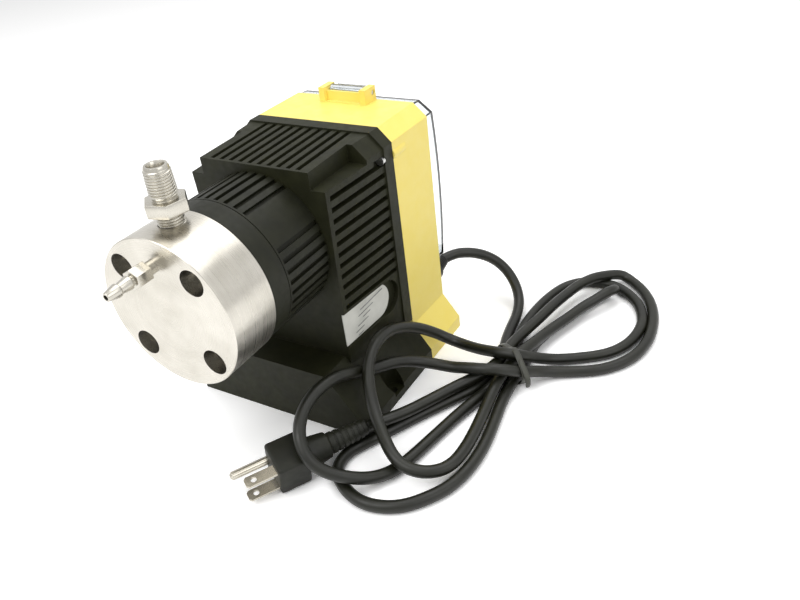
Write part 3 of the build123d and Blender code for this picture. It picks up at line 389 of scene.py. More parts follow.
class Finish(Enum):
    """The finishes of the pump, one for each real material."""

    # Glass-filled nylon: nearly black, dull, with a fine spark-eroded grain.
    BLACK = Plastic("black_moulded_plastic", "181909", "20210F", 0.56, 0.45, 0.012, specular=0.22)
    # The barrel is the same nylon from a smoother mould, so its ribs shine a little more.
    BARREL = Plastic("black_barrel_plastic", "15160B", "1C1D10", 0.5, 0.5, 0.01, specular=0.24)
    # Bright yellow ABS with rounded edges and a satin face.
    YELLOW = Plastic("yellow_moulded_plastic", "F9E372", "FAE57A", 0.42, 0.5, 0.01, 0.5)
    # Hard black phenolic of the knobs: smoother than the housings.
    KNOB = Plastic("black_knob_plastic", "121310", "191A16", 0.35, 0.6, 0.01, 0.3, 0.35)
    # Dark grey panel with an even, fine texture.
    PANEL = Plastic("dark_panel_plastic", "2C3034", "34383C", 0.5, 0.35, 0.015, 0.2)
    # Rubber: the dullest black, with hardly a highlight.
    SEAL = Plastic("black_rubber", "111111", "191918", 0.7, 0.4, 0.01, 0.2)
    # Machined fluoropolymer: soft, waxy white.
    WHITE = Plastic("white_fluoropolymer", "E9E8E2", "F1F0EA", 0.5, 0.6, 0.01, 0.2)
    # Lapped ceramic balls: a small, sharp highlight.
    BALL = Plastic("polished_ceramic", "EDEBE4", "F3F1EC", 0.15, 2.0, 0.001, 0.1)
    # Green solder lacquer over glass cloth.
    BOARD = Plastic("lacquered_circuit_board", "14502B", "1A5E33", 0.3, 1.5, 0.01, 0.1)
    # Glossy red lens, unlit.
    LAMP = Plastic("red_lamp_lens", "C0201A", "CC2A22", 0.15, 1.5, 0.004, 0.2)
    # Soft vinyl moulded on the cord: satin, with round edges.
    PLUG = Plastic("black_plug_moulding", "111209", "191A0F", 0.5, 0.35, 0.012, 0.4, 0.3)
    # Turned fittings: bright, with fine lines across the axis.
    STEEL = Metal("machined_stainless_steel", "C2BEB4", 0.24, 0.5, 0.0015, (1, 1, 8))
    # Zinc plate: a slightly blue white that stays even all over.
    BRIGHT = Metal("bright_zinc_steel", "C9C9C6", 0.3, 0.6, 0.003)
    # Bare soft iron of the magnet: darker and duller.
    IRON = Metal("machined_soft_iron", "8C8C8C", 0.38, 0.5, 0.006)
    # Copper windings: the lines run round the coil, drawn a little coarser than the wire.
    COPPER = Metal("enamelled_copper_wire", "B8693A", 0.35, 0.35, 0.03, (1, 12, 1))
    # Porous bronze: dull, with a fine speckle.
    BRONZE = Metal("sintered_bronze", "A98245", 0.5, 0.3, 0.01)
    # Nickel plate on stamped blades: warm and smooth.
    NICKEL = Metal("nickel_plated_brass", "C4BFB2", 0.2, 0.8, 0.002, (1, 1, 4))
    # Vinyl-coated flat wire.
    TIE = Plastic("coated_twist_tie", "26271F", "33342A", 0.45, 0.6, 0.01, 0.2)
    # Screen print lies flat and matt, with no rounded edge.
    PRINT_WHITE = Plastic("white_print", "E6E6E2", "F0F0EC", 0.6, 0.5, 0.002, 0.0)
    PRINT_DARK = Plastic("dark_print", "2A2C30", "34363A", 0.6, 0.5, 0.002, 0.0)
    # Matt silver polyester label: pale grey and almost flat.
    FOIL = Plastic("silver_label_foil", "D2D2CA", "DCDCD4", 0.4, 0.3, 0.002, 0.1)
    # The head's face shows the turning rings, drawn a little coarser than real ones so that they show.
    TURNED = TurnedSteel("turned_stainless_steel", "B9B5AB", "CBC7BE")
    # The cover is clear, so that the panel shows through it with a slight softness.
    CLEAR = ClearPlastic("clear_polycarbonate", "F4F8FA")
    # Black vinyl with a long soft highlight along the cord.
    CORD = CordJacket("black_cord_jacket", "0E0F07", "17180C")


@dataclass(frozen=True)
class Palette:
    """Materials made once and handed to the pieces."""

    made: dict[Finish, bpy.types.Material]

    @classmethod
    def create(cls) -> "Palette":
        """Make every finish.

        Returns:
            The filled palette.
        """
        return cls({finish: finish.value.build() for finish in Finish})

    def dress(self, obj: bpy.types.Object, finish: Finish) -> None:
        """Give an object one of the materials.

        Args:
            obj: the object to dress.
            finish: the finish that it gets.
        """
        obj.data.materials.clear()
        obj.data.materials.append(self.made[finish])


NODES_BY_FINISH: dict[Finish, tuple[str, ...]] = {
    Finish.BLACK: ("front_housing",),
    Finish.BARREL: ("solenoid_housing", "adapter_ring"),
    Finish.YELLOW: ("rear_housing",),
    Finish.TURNED: ("pump_head",),
    Finish.STEEL: ("discharge_fitting", "suction_fitting", "hose_barb", "diaphragm_plate", "drive_shaft",
                   "stroke_screw"),
    Finish.BRIGHT: ("head_screws", "corner_screws", "barrel_screws", "panel_screws", "hinge_pin",
                    "return_spring", "stroke_bracket", "mode_switch", "switch_lever"),
    Finish.IRON: ("armature", "pole_piece", "solenoid_can", "yoke_plate", "speed_pot"),
    Finish.COPPER: ("solenoid_coil",),
    Finish.BRONZE: ("shaft_bushing",),
    Finish.NICKEL: ("plug_blades", "plug_earth_pin"),
    Finish.WHITE: ("discharge_seat", "discharge_seal", "suction_seat", "suction_seal", "diaphragm",
                   "coil_bobbin"),
    Finish.BALL: ("discharge_ball", "suction_ball"),
    Finish.KNOB: ("stroke_knob", "speed_knob", "pulse_connector", "strain_relief"),
    Finish.PANEL: ("control_panel",),
    Finish.BOARD: ("circuit_board",),
    Finish.LAMP: ("pulse_lamp",),
    Finish.CLEAR: ("panel_cover",),
    Finish.FOIL: ("nameplate",),
    Finish.SEAL: ("housing_gasket", "cord_tie"),
    Finish.PLUG: ("plug_body",),
    Finish.CORD: ("cord_lead", "cord_plug_lead", "cord_loops", "cord_hank"),
}


# ---------------------------------------------------------------- mesh helpers
def finish_mesh(bm: bmesh.types.BMesh, name: str, smooth_angle: float = 35.0,
                turn_out: bool = True) -> bpy.types.Object:
    """Turn a bmesh into a scene object with smooth shading below an angle.

    Args:
        bm: the mesh under construction, which is freed.
        name: the object's name.
        smooth_angle: edges sharper than this, in degrees, stay sharp.
        turn_out: whether to turn the faces outwards; flat print already faces its reader.

    Returns:
        The new object.
    """
    if turn_out:
        bmesh.ops.recalc_face_normals(bm, faces=bm.faces)
    for face in bm.faces:
        face.smooth = True
    limit = math.radians(smooth_angle)
    for edge in bm.edges:
        if len(edge.link_faces) == 2:
            edge.smooth = edge.calc_face_angle() < limit
    mesh = bpy.data.meshes.new(name)
    bm.to_mesh(mesh)
    bm.free()
    obj = bpy.data.objects.new(name, mesh)
    bpy.context.scene.collection.objects.link(obj)
    return obj


def reachable(verts: Iterable[bmesh.types.BMVert]) -> list[bmesh.types.BMVert]:
    """All vertices of the pieces that some vertices belong to.

    Args:
        verts: the vertices to start from; those that an operator removed are skipped.

    Returns:
        Each connected vertex once.
    """
    found = {v for v in verts if v.is_valid}
    stack = list(found)
    while stack:
        for edge in stack.pop().link_edges:
            fresh = [v for v in edge.verts if v not in found]
            found.update(fresh)
            stack.extend(fresh)
    return list(found)


def new_verts(made: dict) -> list[bmesh.types.BMVert]:
    """The vertices among the geometry that an operator made.

    Args:
        made: the operator's result.

    Returns:
        Its new vertices.
    """
    return [part for part in made["geom"] if isinstance(part, bmesh.types.BMVert)]


def lathe(bm: bmesh.types.BMesh, profile: Sequence[Pair], place: Matrix, steps: int = 64) -> None:
    """Revolve a closed profile of (radius, height) about the local Z axis.

    A side of the profile that lies on the axis is left out, and the poles at its ends are merged.

    Args:
        bm: the mesh to add to.
        profile: radius and height pairs in metres.
        place: the matrix that puts the piece in place.
        steps: facets round the axis.
    """
    verts = [bm.verts.new((radius, 0, height)) for radius, height in profile]
    sides = [(a, b) for a, b in zip(verts, verts[1:] + verts[:1]) if a.co.x or b.co.x]
    edges = [bm.edges.new(side) for side in sides]
    bmesh.ops.spin(bm, geom=verts + edges, cent=(0, 0, 0), axis=(0, 0, 1), angle=2 * math.pi,
                   steps=steps, use_merge=True)
    ring = reachable(verts)
    poles = [v for v in ring if math.hypot(v.co.x, v.co.y) < TINY]
    bmesh.ops.remove_doubles(bm, verts=poles, dist=TINY)
    bmesh.ops.transform(bm, matrix=place, verts=[v for v in ring if v.is_valid])



def hexagon(bm: bmesh.types.BMesh, flats: float, low: float, high: float, place: Matrix) -> None:
    """Hexagonal prism along local Z with its rims chamfered as on a turned nut.

    Args:
        bm: the mesh to add to.
        flats: width across flats.
        low: lower end.
        high: upper end.
        place: the matrix that puts the piece in place.
    """
    ring = bmesh.ops.create_circle(bm, cap_ends=True, segments=6, radius=flats / math.sqrt(3))["verts"]
    bmesh.ops.translate(bm, verts=ring, vec=(0, 0, low))
    made = bmesh.ops.extrude_face_region(bm, geom=[ring[0].link_faces[0]], use_keep_orig=True)
    top = new_verts(made)
    bmesh.ops.translate(bm, verts=top, vec=(0, 0, high - low))
    ends = (set(ring), set(top))
    chamfer = flats * 0.045
    rims = {e for end in ends for v in end for e in v.link_edges if set(e.verts) <= end}
    made = bmesh.ops.bevel(bm, geom=list(rims), offset=chamfer, segments=2, profile=0.6,
                           affect="EDGES", material=-1)
    bmesh.ops.transform(bm, matrix=place, verts=reachable(made["verts"]))


def place_along(origin: Sequence[float], direction: Sequence[float]) -> Matrix:
    """Matrix that puts local Z along a direction from an origin.

    Args:
        origin: the place of the local origin.
        direction: where local Z points.

    Returns:
        The placing matrix.
    """
    turn = Vector(direction).to_track_quat("Z", "Y").to_matrix().to_4x4()
    return Matrix.Translation(Vector(origin)) @ turn


# ---------------------------------------------------------------- liquid end
@dataclass
class OutletNipple:
    """Threaded stainless outlet nipple on top of the head, with a tapered pipe thread."""

    palette: Palette
    pitch: float = 1.41 * MM
    thread_length: float = 16.2 * MM
    hex_length: float = 7.0 * MM
    flats: float = 19.0 * MM
    hex_turn: float = math.radians(-14)
    radius: float = 6.86 * MM
    depth: float = 0.95 * MM
    taper: float = 0.45 * MM
    crest_half: float = 0.1 * MM
    flank_share: float = 0.47
    sunk: float = 0.06 * MM
    steps_per_turn: int = 40
    fade: float = 12.0
    thread_margin: Pair = (0.9 * MM, 1.2 * MM)
    tip_chamfer: Pair = (0.5 * MM, 1.1 * MM)
    bore: float = 3.6 * MM
    mouth: float = 4.3 * MM
    mouth_depth: float = 1.5 * MM
    shank_bore: float = 3.0 * MM
    shank_thread: Pair = (6.9 * MM, 0.3 * MM)
    overlap: Pair = (0.4 * MM, 0.5 * MM)

    def build(self) -> bpy.types.Object:
        """Make the hexagon, the tapered thread and the bore.

        Returns:
            The nipple as one object.
        """
        bm = bmesh.new()
        top = PORT_HIGH.z
        axis = place_along((0, PORT_Y, 0), (0, 0, 1))
        neck = top - self.thread_length
        low = neck - self.hex_length
        hexagon(bm, self.flats, low, neck, axis @ Matrix.Rotation(self.hex_turn, 4, "Z"))
        root = self.radius - self.depth
        shank_top = low + self.overlap[0]
        lathe(bm, [(root, PORT_LOW.z), (root, shank_top), (self.shank_bore, shank_top),
                   (self.shank_bore, PORT_LOW.z)], axis)
        foot = neck - self.overlap[1]
        lathe(bm, [(root, foot), (root, top - self.tip_chamfer[1]), (root - self.tip_chamfer[0], top),
                   (self.mouth, top), (self.bore, top - self.mouth_depth), (self.bore, foot)], axis)
        self.thread(bm, neck + self.thread_margin[0], top - self.thread_margin[1], axis)
        self.thread(bm, low - self.shank_thread[0], low - self.shank_thread[1], axis)
        obj = finish_mesh(bm, "outlet_nipple", 25)
        self.palette.dress(obj, Finish.STEEL)
        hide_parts("discharge_fitting")
        LOG.info("outlet nipple: %.1f mm across flats, %.1f mm of thread", self.flats / MM,
                 self.thread_length / MM)
        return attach(obj, "root")

    def thread(self, bm: bmesh.types.BMesh, low: float, high: float, axis: Matrix) -> None:
        """Sweep one V-shaped ridge as a closed helix that fades out at both ends.

        Args:
            bm: the mesh to add to.
            low: where the thread starts.
            high: where it ends.
            axis: the placing matrix.
        """
        turns = (high - low) / self.pitch
        steps = int(turns * self.steps_per_turn)
        root = self.radius - self.depth - self.sunk
        half = self.pitch * self.flank_share
        crest = self.crest_half
        shape = [(root, -half), (self.radius, -crest), (self.radius, crest), (root, half)]
        verts = [bm.verts.new((radius, 0, low + height)) for radius, height in shape]
        edges = [bm.edges.new(side) for side in zip(verts, verts[1:] + verts[:1])]
        bmesh.ops.spin(bm, geom=verts + edges, cent=(0, 0, 0), axis=(0, 0, 1), angle=2 * math.pi * turns,
                       dvec=(0, 0, (high - low) / steps), steps=steps)
        ridge = reachable(verts)
        open_ends = {e for v in ridge for e in v.link_edges if e.is_boundary}
        bmesh.ops.holes_fill(bm, edges=list(open_ends), sides=len(shape))
        for vert in ridge:
            lift = (vert.co.z - low) / (high - low)
            reach = math.hypot(vert.co.x, vert.co.y)
            height = max(0.05, min(1.0, self.fade * lift, self.fade * (1 - lift)))
            wanted = root + (reach - root) * height - self.taper * lift
            vert.co.x *= wanted / reach
            vert.co.y *= wanted / reach
        bmesh.ops.transform(bm, matrix=axis, verts=ridge)


@dataclass
class HoseTail:
    """Small hose tail on the head's face, with a hexagon and two barbs."""

    palette: Palette
    flats: float = 9.2 * MM
    hex_from: float = 4.6 * MM
    hex_to: float = 13.6 * MM
    bore_mm: float = 1.35
    tip_radius_mm: float = 2.05
    outline_mm: tuple[Pair, ...] = (
        (3.4, 0.0), (3.4, 4.8), (2.6, 5.0), (2.6, 14.5),
        (3.5, 15.2), (3.5, 16.0), (2.7, 21.2),
        (3.4, 21.9), (3.4, 22.7), (2.35, 27.9),
    )

    def build(self) -> bpy.types.Object:
        """Make the barbs, the stem and the hexagon.

        Returns:
            The tail as one object.
        """
        bm = bmesh.new()
        face = HEAD_LOW.y
        axis = place_along((0, face, BARB_Z), (0, -1, 0))
        length_mm = (face - BARB_LOW.y) / MM
        hexagon(bm, self.flats, self.hex_from, self.hex_to, axis)
        tip = ((self.tip_radius_mm, length_mm), (self.bore_mm, length_mm), (self.bore_mm, 0.0))
        lathe(bm, [(radius * MM, height * MM) for radius, height in self.outline_mm + tip], axis, 48)
        obj = finish_mesh(bm, "barbed_hose_tail", 30)
        self.palette.dress(obj, Finish.STEEL)
        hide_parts("hose_barb")
        LOG.info("barbed hose tail: %.1f mm long", length_mm)
        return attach(obj, "root")


# ---------------------------------------------------------------- mains lead
# The cord's centre line in millimetres, listed from the gland to the plug.
LEAD = [
    (42.0, 77.0, 38.5), (45.9, 84.5, 39.6), (53.0, 92.0, 38.4), (60.3, 98.6, 35.0), (67.6, 103.2, 30.0),
    (74.0, 105.3, 24.0), (80.2, 104.6, 17.6), (86.1, 100.4, 11.6), (91.3, 92.2, 6.8), (94.6, 79.5, 4.0),
    (96.4, 64.0, 3.6), (98.8, 51.0, 3.6), (102.4, 38.5, 3.8), (104.4, 27.0, 4.2), (103.8, 14.0, 4.0),
]
FLOOR_LOOP = [
    (101.0, 1.0, 3.6), (93.4, -12.1, 3.6), (84.7, -27.3, 3.6), (76.8, -41.9, 3.6), (69.4, -56.0, 3.6),
    (63.6, -66.4, 3.6), (59.2, -75.0, 3.6), (58.9, -84.3, 3.6), (62.4, -92.5, 3.6), (70.2, -98.4, 3.6),
    (78.4, -102.3, 3.6), (87.6, -104.1, 3.6), (98.2, -101.8, 3.6), (107.1, -96.7, 3.6), (114.4, -88.4, 3.6),
    (121.0, -78.2, 3.6), (124.8, -65.9, 3.6), (126.1, -51.5, 3.6), (125.3, -36.9, 3.6), (122.8, -20.4, 3.6),
    (120.0, -3.6, 3.8), (119.2, 8.5, 4.2), (119.6, 21.0, 4.7),
]
HAIRPIN = [
    (118.8, 36.0, 4.0), (116.8, 50.0, 3.6), (119.1, 66.3, 3.6), (122.6, 77.6, 3.6), (127.0, 90.2, 3.6),
    (131.3, 104.6, 3.6), (135.6, 114.6, 3.6), (139.2, 122.0, 3.8), (144.4, 127.4, 6.4),
    (148.4, 122.6, 11.2), (144.9, 113.2, 13.4), (139.6, 105.5, 10.8), (133.9, 96.6, 9.2),
    (129.4, 83.2, 8.7), (125.0, 70.9, 8.7), (121.6, 59.7, 8.7), (119.4, 46.5, 10.6), (117.6, 38.0, 11.6),
    (115.6, 27.0, 11.8), (114.2, 15.0, 11.2),
]
FOOT_LOOP = [
    (113.6, 2.0, 9.4), (114.8, -12.0, 7.4), (117.2, -27.0, 7.6), (119.4, -45.8, 8.0), (119.4, -60.0, 8.2),
    (116.8, -68.8, 8.2), (111.2, -74.6, 8.4), (104.4, -77.9, 9.2), (96.4, -78.9, 10.8), (88.4, -76.0, 13.4),
    (79.4, -68.8, 16.4), (70.4, -60.8, 20.6), (61.8, -51.6, 27.4), (56.2, -43.4, 35.0), (53.6, -34.6, 41.0),
    (52.2, -23.2, 43.4), (51.7, -9.4, 40.8), (54.2, 3.4, 35.0), (58.4, 13.8, 28.0), (64.4, 21.6, 20.6),
    (71.0, 25.4, 15.4),
]
INNER_CROSSING = [
    (79.3, 26.0, 13.5), (92.1, 23.4, 14.6), (104.9, 20.2, 18.2), (115.6, 20.4, 19.4), (120.8, 23.5, 17.8),
    (124.9, 31.0, 12.0), (130.2, 38.3, 7.0), (136.5, 43.8, 4.6),
]
RIGHT_INNER = [
    (144.5, 49.2, 3.6), (158.3, 58.1, 3.5), (166.1, 66.6, 3.5), (171.6, 78.7, 3.5), (173.4, 94.9, 3.5),
    (171.1, 107.3, 3.5), (165.0, 120.3, 3.5), (157.3, 129.0, 3.5), (147.6, 135.9, 3.5), (139.2, 138.2, 3.5),
    (131.2, 138.3, 3.5), (122.6, 135.8, 3.5), (115.6, 130.0, 3.5), (110.6, 122.0, 3.5), (107.1, 110.8, 3.5),
    (104.6, 97.8, 3.5), (103.6, 83.7, 3.6), (103.8, 70.2, 3.8), (105.4, 57.0, 3.8), (108.4, 43.0, 4.2),
    (111.8, 27.0, 4.2),
]
PLUG_LOOP = [
    (110.0, 9.0, 3.6), (105.8, -7.0, 3.6), (101.6, -24.0, 3.6), (97.9, -42.7, 3.6), (94.9, -58.8, 3.8),
    (91.9, -71.4, 3.6), (88.0, -82.4, 4.6), (82.6, -91.6, 7.8), (75.8, -98.0, 11.6), (68.0, -102.4, 15.0),
    (60.4, -104.9, 19.4), (54.0, -104.2, 25.0), (48.4, -99.8, 30.6), (44.4, -92.6, 35.4),
    (42.8, -82.8, 39.2), (43.8, -72.0, 41.6), (46.6, -59.8, 41.2), (49.0, -46.6, 35.0), (51.8, -33.4, 28.4),
    (58.6, -18.0, 25.0), (65.8, -7.6, 19.8), (75.4, -2.0, 16.6),
]
OUTER_CROSSING = [
    (86.5, -0.4, 16.0), (95.5, 0.5, 17.6), (105.2, 1.7, 18.8), (114.3, 4.9, 18.6), (120.7, 10.0, 16.0),
    (126.3, 17.6, 11.5), (131.4, 25.1, 7.5), (139.2, 31.4, 4.8),
]
RIGHT_OUTER = [
    (148.1, 36.7, 3.6), (159.8, 42.8, 3.5), (167.8, 49.6, 3.5), (175.0, 59.4, 3.5), (179.6, 72.0, 3.5),
    (180.9, 87.5, 3.5), (178.8, 104.9, 3.5), (173.3, 122.0, 3.5), (165.4, 135.0, 3.5), (159.0, 142.0, 3.6),
    (151.0, 148.4, 4.0), (143.6, 149.6, 6.6), (133.5, 135.3, 10.8), (128.2, 127.4, 11.6),
    (123.5, 117.9, 11.2), (119.7, 106.3, 10.6), (116.1, 90.6, 10.6), (113.8, 76.4, 10.6),
    (111.6, 64.6, 10.6), (109.6, 54.0, 10.8), (108.2, 44.0, 11.2), (107.8, 35.0, 11.4), (108.2, 26.0, 11.4),
]
PLUG_LEAD = [
    (105.6, 13.0, 11.2), (99.6, 1.2, 10.6), (91.8, -12.6, 10.6), (84.4, -27.4, 10.6), (77.0, -42.4, 11.2),
    (69.6, -53.9, 12.2), (63.93, -62.45, 12.9),
]
CORD_DIAMETER = 7.0 * MM
ROUTE = (LEAD + FLOOR_LOOP + HAIRPIN + FOOT_LOOP + INNER_CROSSING + RIGHT_INNER + PLUG_LOOP + OUTER_CROSSING
         + RIGHT_OUTER + PLUG_LEAD)

# The tie crosses the bundle: its middle and heading, then its outline across the bundle, in millimetres.
TIE_PLACE = (112.0, 27.3)
TIE_HEADING = 46.0
TIE_OUTLINE = [
    (-17.4, 0.9), (-18.0, 6.0), (-13.4, 12.4), (-6.4, 16.2), (0.5, 17.6), (5.6, 22.4), (11.2, 22.2),
    (17.8, 17.8), (22.2, 15.6), (22.4, 9.6), (18.4, 4.0), (14.2, 0.9), (0.0, 0.8),
]
TIE_TAIL = [(15.0, 20.4), (20.5, 17.6), (25.6, 15.2), (27.4, 11.0), (25.8, 6.4)]

# The plug lies tilted on the floor: the middle of its front face, its heading and its roll.
PLUG_FACE = (35.2, -111.0, 12.9)
PLUG_HEADING = -120.5
PLUG_ROLL = -14.0


@dataclass
class MainsLead:
    """The free mains cord, from the gland to the plug."""

    palette: Palette

    def build(self) -> bpy.types.Object:
        """Returns:
            The cord's curve.
        """
        curve = bpy.data.curves.new("mains_cord", "CURVE")
        curve.dimensions = "3D"
        curve.bevel_depth = CORD_DIAMETER / 2
        curve.bevel_resolution = 6
        curve.resolution_u = 8
        curve.use_fill_caps = True
        spline = curve.splines.new("NURBS")
        spline.points.add(len(ROUTE) - 1)
        for point, (x, y, z) in zip(spline.points, ROUTE):
            point.co = (x * MM, y * MM, z * MM, 1.0)
        spline.order_u = 3
        spline.use_endpoint_u = True
        cord = bpy.data.objects.new("mains_cord", curve)
        bpy.context.scene.collection.objects.link(cord)
        self.palette.dress(cord, Finish.CORD)
        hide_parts("cord_lead", "cord_plug_lead", "cord_loops", "cord_hank")
        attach(cord, "root")
        return cord


@dataclass
class TwistTie:
    """Flat coated tie round the bundle, with its bent end."""

    palette: Palette
    width_mm: float = 4.2
    thickness: float = 1.1 * MM
    tail_share: float = 0.85
    smoothing: int = 2

    def build(self) -> bpy.types.Object:
        """Make the band and the bent end from their outlines across the bundle.

        Returns:
            The tie as one object.
        """
        bm = bmesh.new()
        place = (Matrix.Translation((TIE_PLACE[0] * MM, TIE_PLACE[1] * MM, 0))
                 @ Matrix.Rotation(math.radians(TIE_HEADING), 4, "Z"))
        self.strip(bm, TIE_OUTLINE, self.width_mm, True)
        self.strip(bm, TIE_TAIL, self.width_mm * self.tail_share, False)
        bmesh.ops.transform(bm, matrix=place, verts=bm.verts)
        obj = finish_mesh(bm, "twist_tie", 60)
        skin = obj.modifiers.new("thickness", "SOLIDIFY")
        skin.thickness = self.thickness
        skin.offset = 0.0
        smooth = obj.modifiers.new("rounding", "SUBSURF")
        smooth.levels = smooth.render_levels = self.smoothing
        self.palette.dress(obj, Finish.TIE)
        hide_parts("cord_tie")
        LOG.info("twist tie: %.1f mm wide", self.width_mm)
        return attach(obj, "root")

    def strip(self, bm: bmesh.types.BMesh, outline: Sequence[Pair], width_mm: float, closed: bool) -> None:
        """Extrude an outline across the bundle into a strip along it.

        Args:
            bm: the mesh to add to.
            outline: distances across the bundle and heights in millimetres.
            width_mm: the strip's width in millimetres.
            closed: whether the outline's ends meet.
        """
        near = -width_mm / 2
        verts = [bm.verts.new((near * MM, -across * MM, height * MM)) for across, height in outline]
        pairs = list(zip(verts, verts[1:])) + ([(verts[-1], verts[0])] if closed else [])
        edges = [bm.edges.new(pair) for pair in pairs]
        made = bmesh.ops.extrude_edge_only(bm, edges=edges)
        bmesh.ops.translate(bm, verts=new_verts(made), vec=(width_mm * MM, 0, 0))


@dataclass
class MouldedPlug:
    """Three-pin plug: moulded body with a ribbed tail, and flat blades with holes."""

    palette: Palette
    half: float = 10.5 * MM
    depth: float = 18.0 * MM
    length: float = 56.0 * MM
    edge_round: float = 1.7 * MM
    grip_from: float = 16.5 * MM
    grip_mm: tuple[Pair, ...] = ((0.0, 0.0), (9.6, 0.0), (9.2, 3.0), (8.2, 10.0), (7.4, 15.5), (5.9, 16.5))
    ribs: int = 6
    rib_from: float = 34.0 * MM
    rib_pitch: float = 3.4 * MM
    rib_radius: float = 6.2 * MM
    rib_narrowing: float = 0.22 * MM
    rib_width: float = 2.1 * MM
    rib_slope: float = 0.3 * MM
    groove_width: float = 0.7 * MM
    groove: float = 0.6 * MM
    tip_mm: tuple[Pair, ...] = ((4.6, -0.6), (4.1, 0.0), (0.0, 0.0))
    blade_width: float = 6.35 * MM
    blade_thickness: float = 1.5 * MM
    blade_length: float = 17.0 * MM
    blade_gap: float = 6.35 * MM
    blade_centre: float = -5.03 * MM
    blade_chamfer: float = 1.3 * MM
    hole_radius: float = 1.6 * MM
    hole_from_face: float = 12.2 * MM

    def place(self) -> Matrix:
        """Matrix that puts the plug's own frame, with its blades along +Y, in place.

        Returns:
            The placing matrix.
        """
        return (Matrix.Translation(Vector(PLUG_FACE) * MM)
                @ Matrix.Rotation(math.radians(PLUG_HEADING - 90), 4, "Z")
                @ Matrix.Rotation(math.radians(PLUG_ROLL), 4, "Y"))

    def build(self) -> list[bpy.types.Object]:
        """Make the body and the blades.

        Returns:
            The body and the blades.
        """
        pieces = [self.body(), self.blades()]
        LOG.info("moulded plug: %d pieces, %d ribs", len(pieces), self.ribs)
        return pieces

    def body(self) -> bpy.types.Object:
        """Make the block, the waisted grip and the ribs of the tail.

        Returns:
            The body.
        """
        bm = bmesh.new()
        cube = bmesh.ops.create_cube(bm, size=1.0)["verts"]
        bmesh.ops.scale(bm, vec=(2 * self.half, self.depth, 2 * self.half), verts=cube)
        bmesh.ops.translate(bm, vec=(0, -self.depth / 2, 0), verts=cube)
        bmesh.ops.bevel(bm, geom=list({e for v in cube for e in v.link_edges}), offset=self.edge_round,
                        segments=4, profile=0.5, affect="EDGES", material=-1)
        profile = [(radius * MM, self.grip_from + back * MM) for radius, back in self.grip_mm]
        for i in range(self.ribs):
            rib = self.rib_from + i * self.rib_pitch
            rib_end = rib + self.rib_width
            radius = self.rib_radius - i * self.rib_narrowing
            profile += [(radius, rib), (radius, rib_end), (radius - self.groove, rib_end + self.rib_slope),
                        (radius - self.groove, rib_end + self.rib_slope + self.groove_width)]
        profile += [(radius * MM, self.length + back * MM) for radius, back in self.tip_mm]
        lathe(bm, profile, place_along((0, 0, 0), (0, -1, 0)), 48)
        bmesh.ops.transform(bm, matrix=self.place(), verts=bm.verts)
        obj = finish_mesh(bm, "moulded_plug", 32)
        self.palette.dress(obj, Finish.PLUG)
        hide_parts("plug_body")
        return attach(obj, "root")

    def blades(self) -> bpy.types.Object:
        """Make the two flat blades, each with its hole and bevelled tip.

        Returns:
            Both blades as one object.
        """
        bm = bmesh.new()
        half = self.blade_width / 2
        shoulder = self.blade_length - self.blade_chamfer
        point = half - self.blade_chamfer
        tip = [(-half, 0.0), (half, 0.0), (half, shoulder), (point, self.blade_length),
               (-point, self.blade_length), (-half, shoulder)]
        for side in (-1, 1):
            height = side * self.blade_gap - self.blade_thickness / 2
            hole_place = Matrix.Translation((self.blade_centre, self.hole_from_face, height))
            hole = bmesh.ops.create_circle(bm, segments=24, radius=self.hole_radius, matrix=hole_place)
            rim = [bm.verts.new((self.blade_centre + x, y, height)) for x, y in tip]
            edges = [bm.edges.new(pair) for pair in zip(rim, rim[1:] + rim[:1])]
            edges += list({e for v in hole["verts"] for e in v.link_edges})
            flat = bmesh.ops.triangle_fill(bm, use_beauty=True, edges=edges)
            faces = [f for f in flat["geom"] if isinstance(f, bmesh.types.BMFace)]
            made = bmesh.ops.extrude_face_region(bm, geom=faces, use_keep_orig=True)
            bmesh.ops.translate(bm, verts=new_verts(made), vec=(0, 0, self.blade_thickness))
        bmesh.ops.transform(bm, matrix=self.place(), verts=bm.verts)
        obj = finish_mesh(bm, "blades_with_holes", 30)
        self.palette.dress(obj, Finish.NICKEL)
        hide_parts("plug_blades")
        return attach(obj, "root")


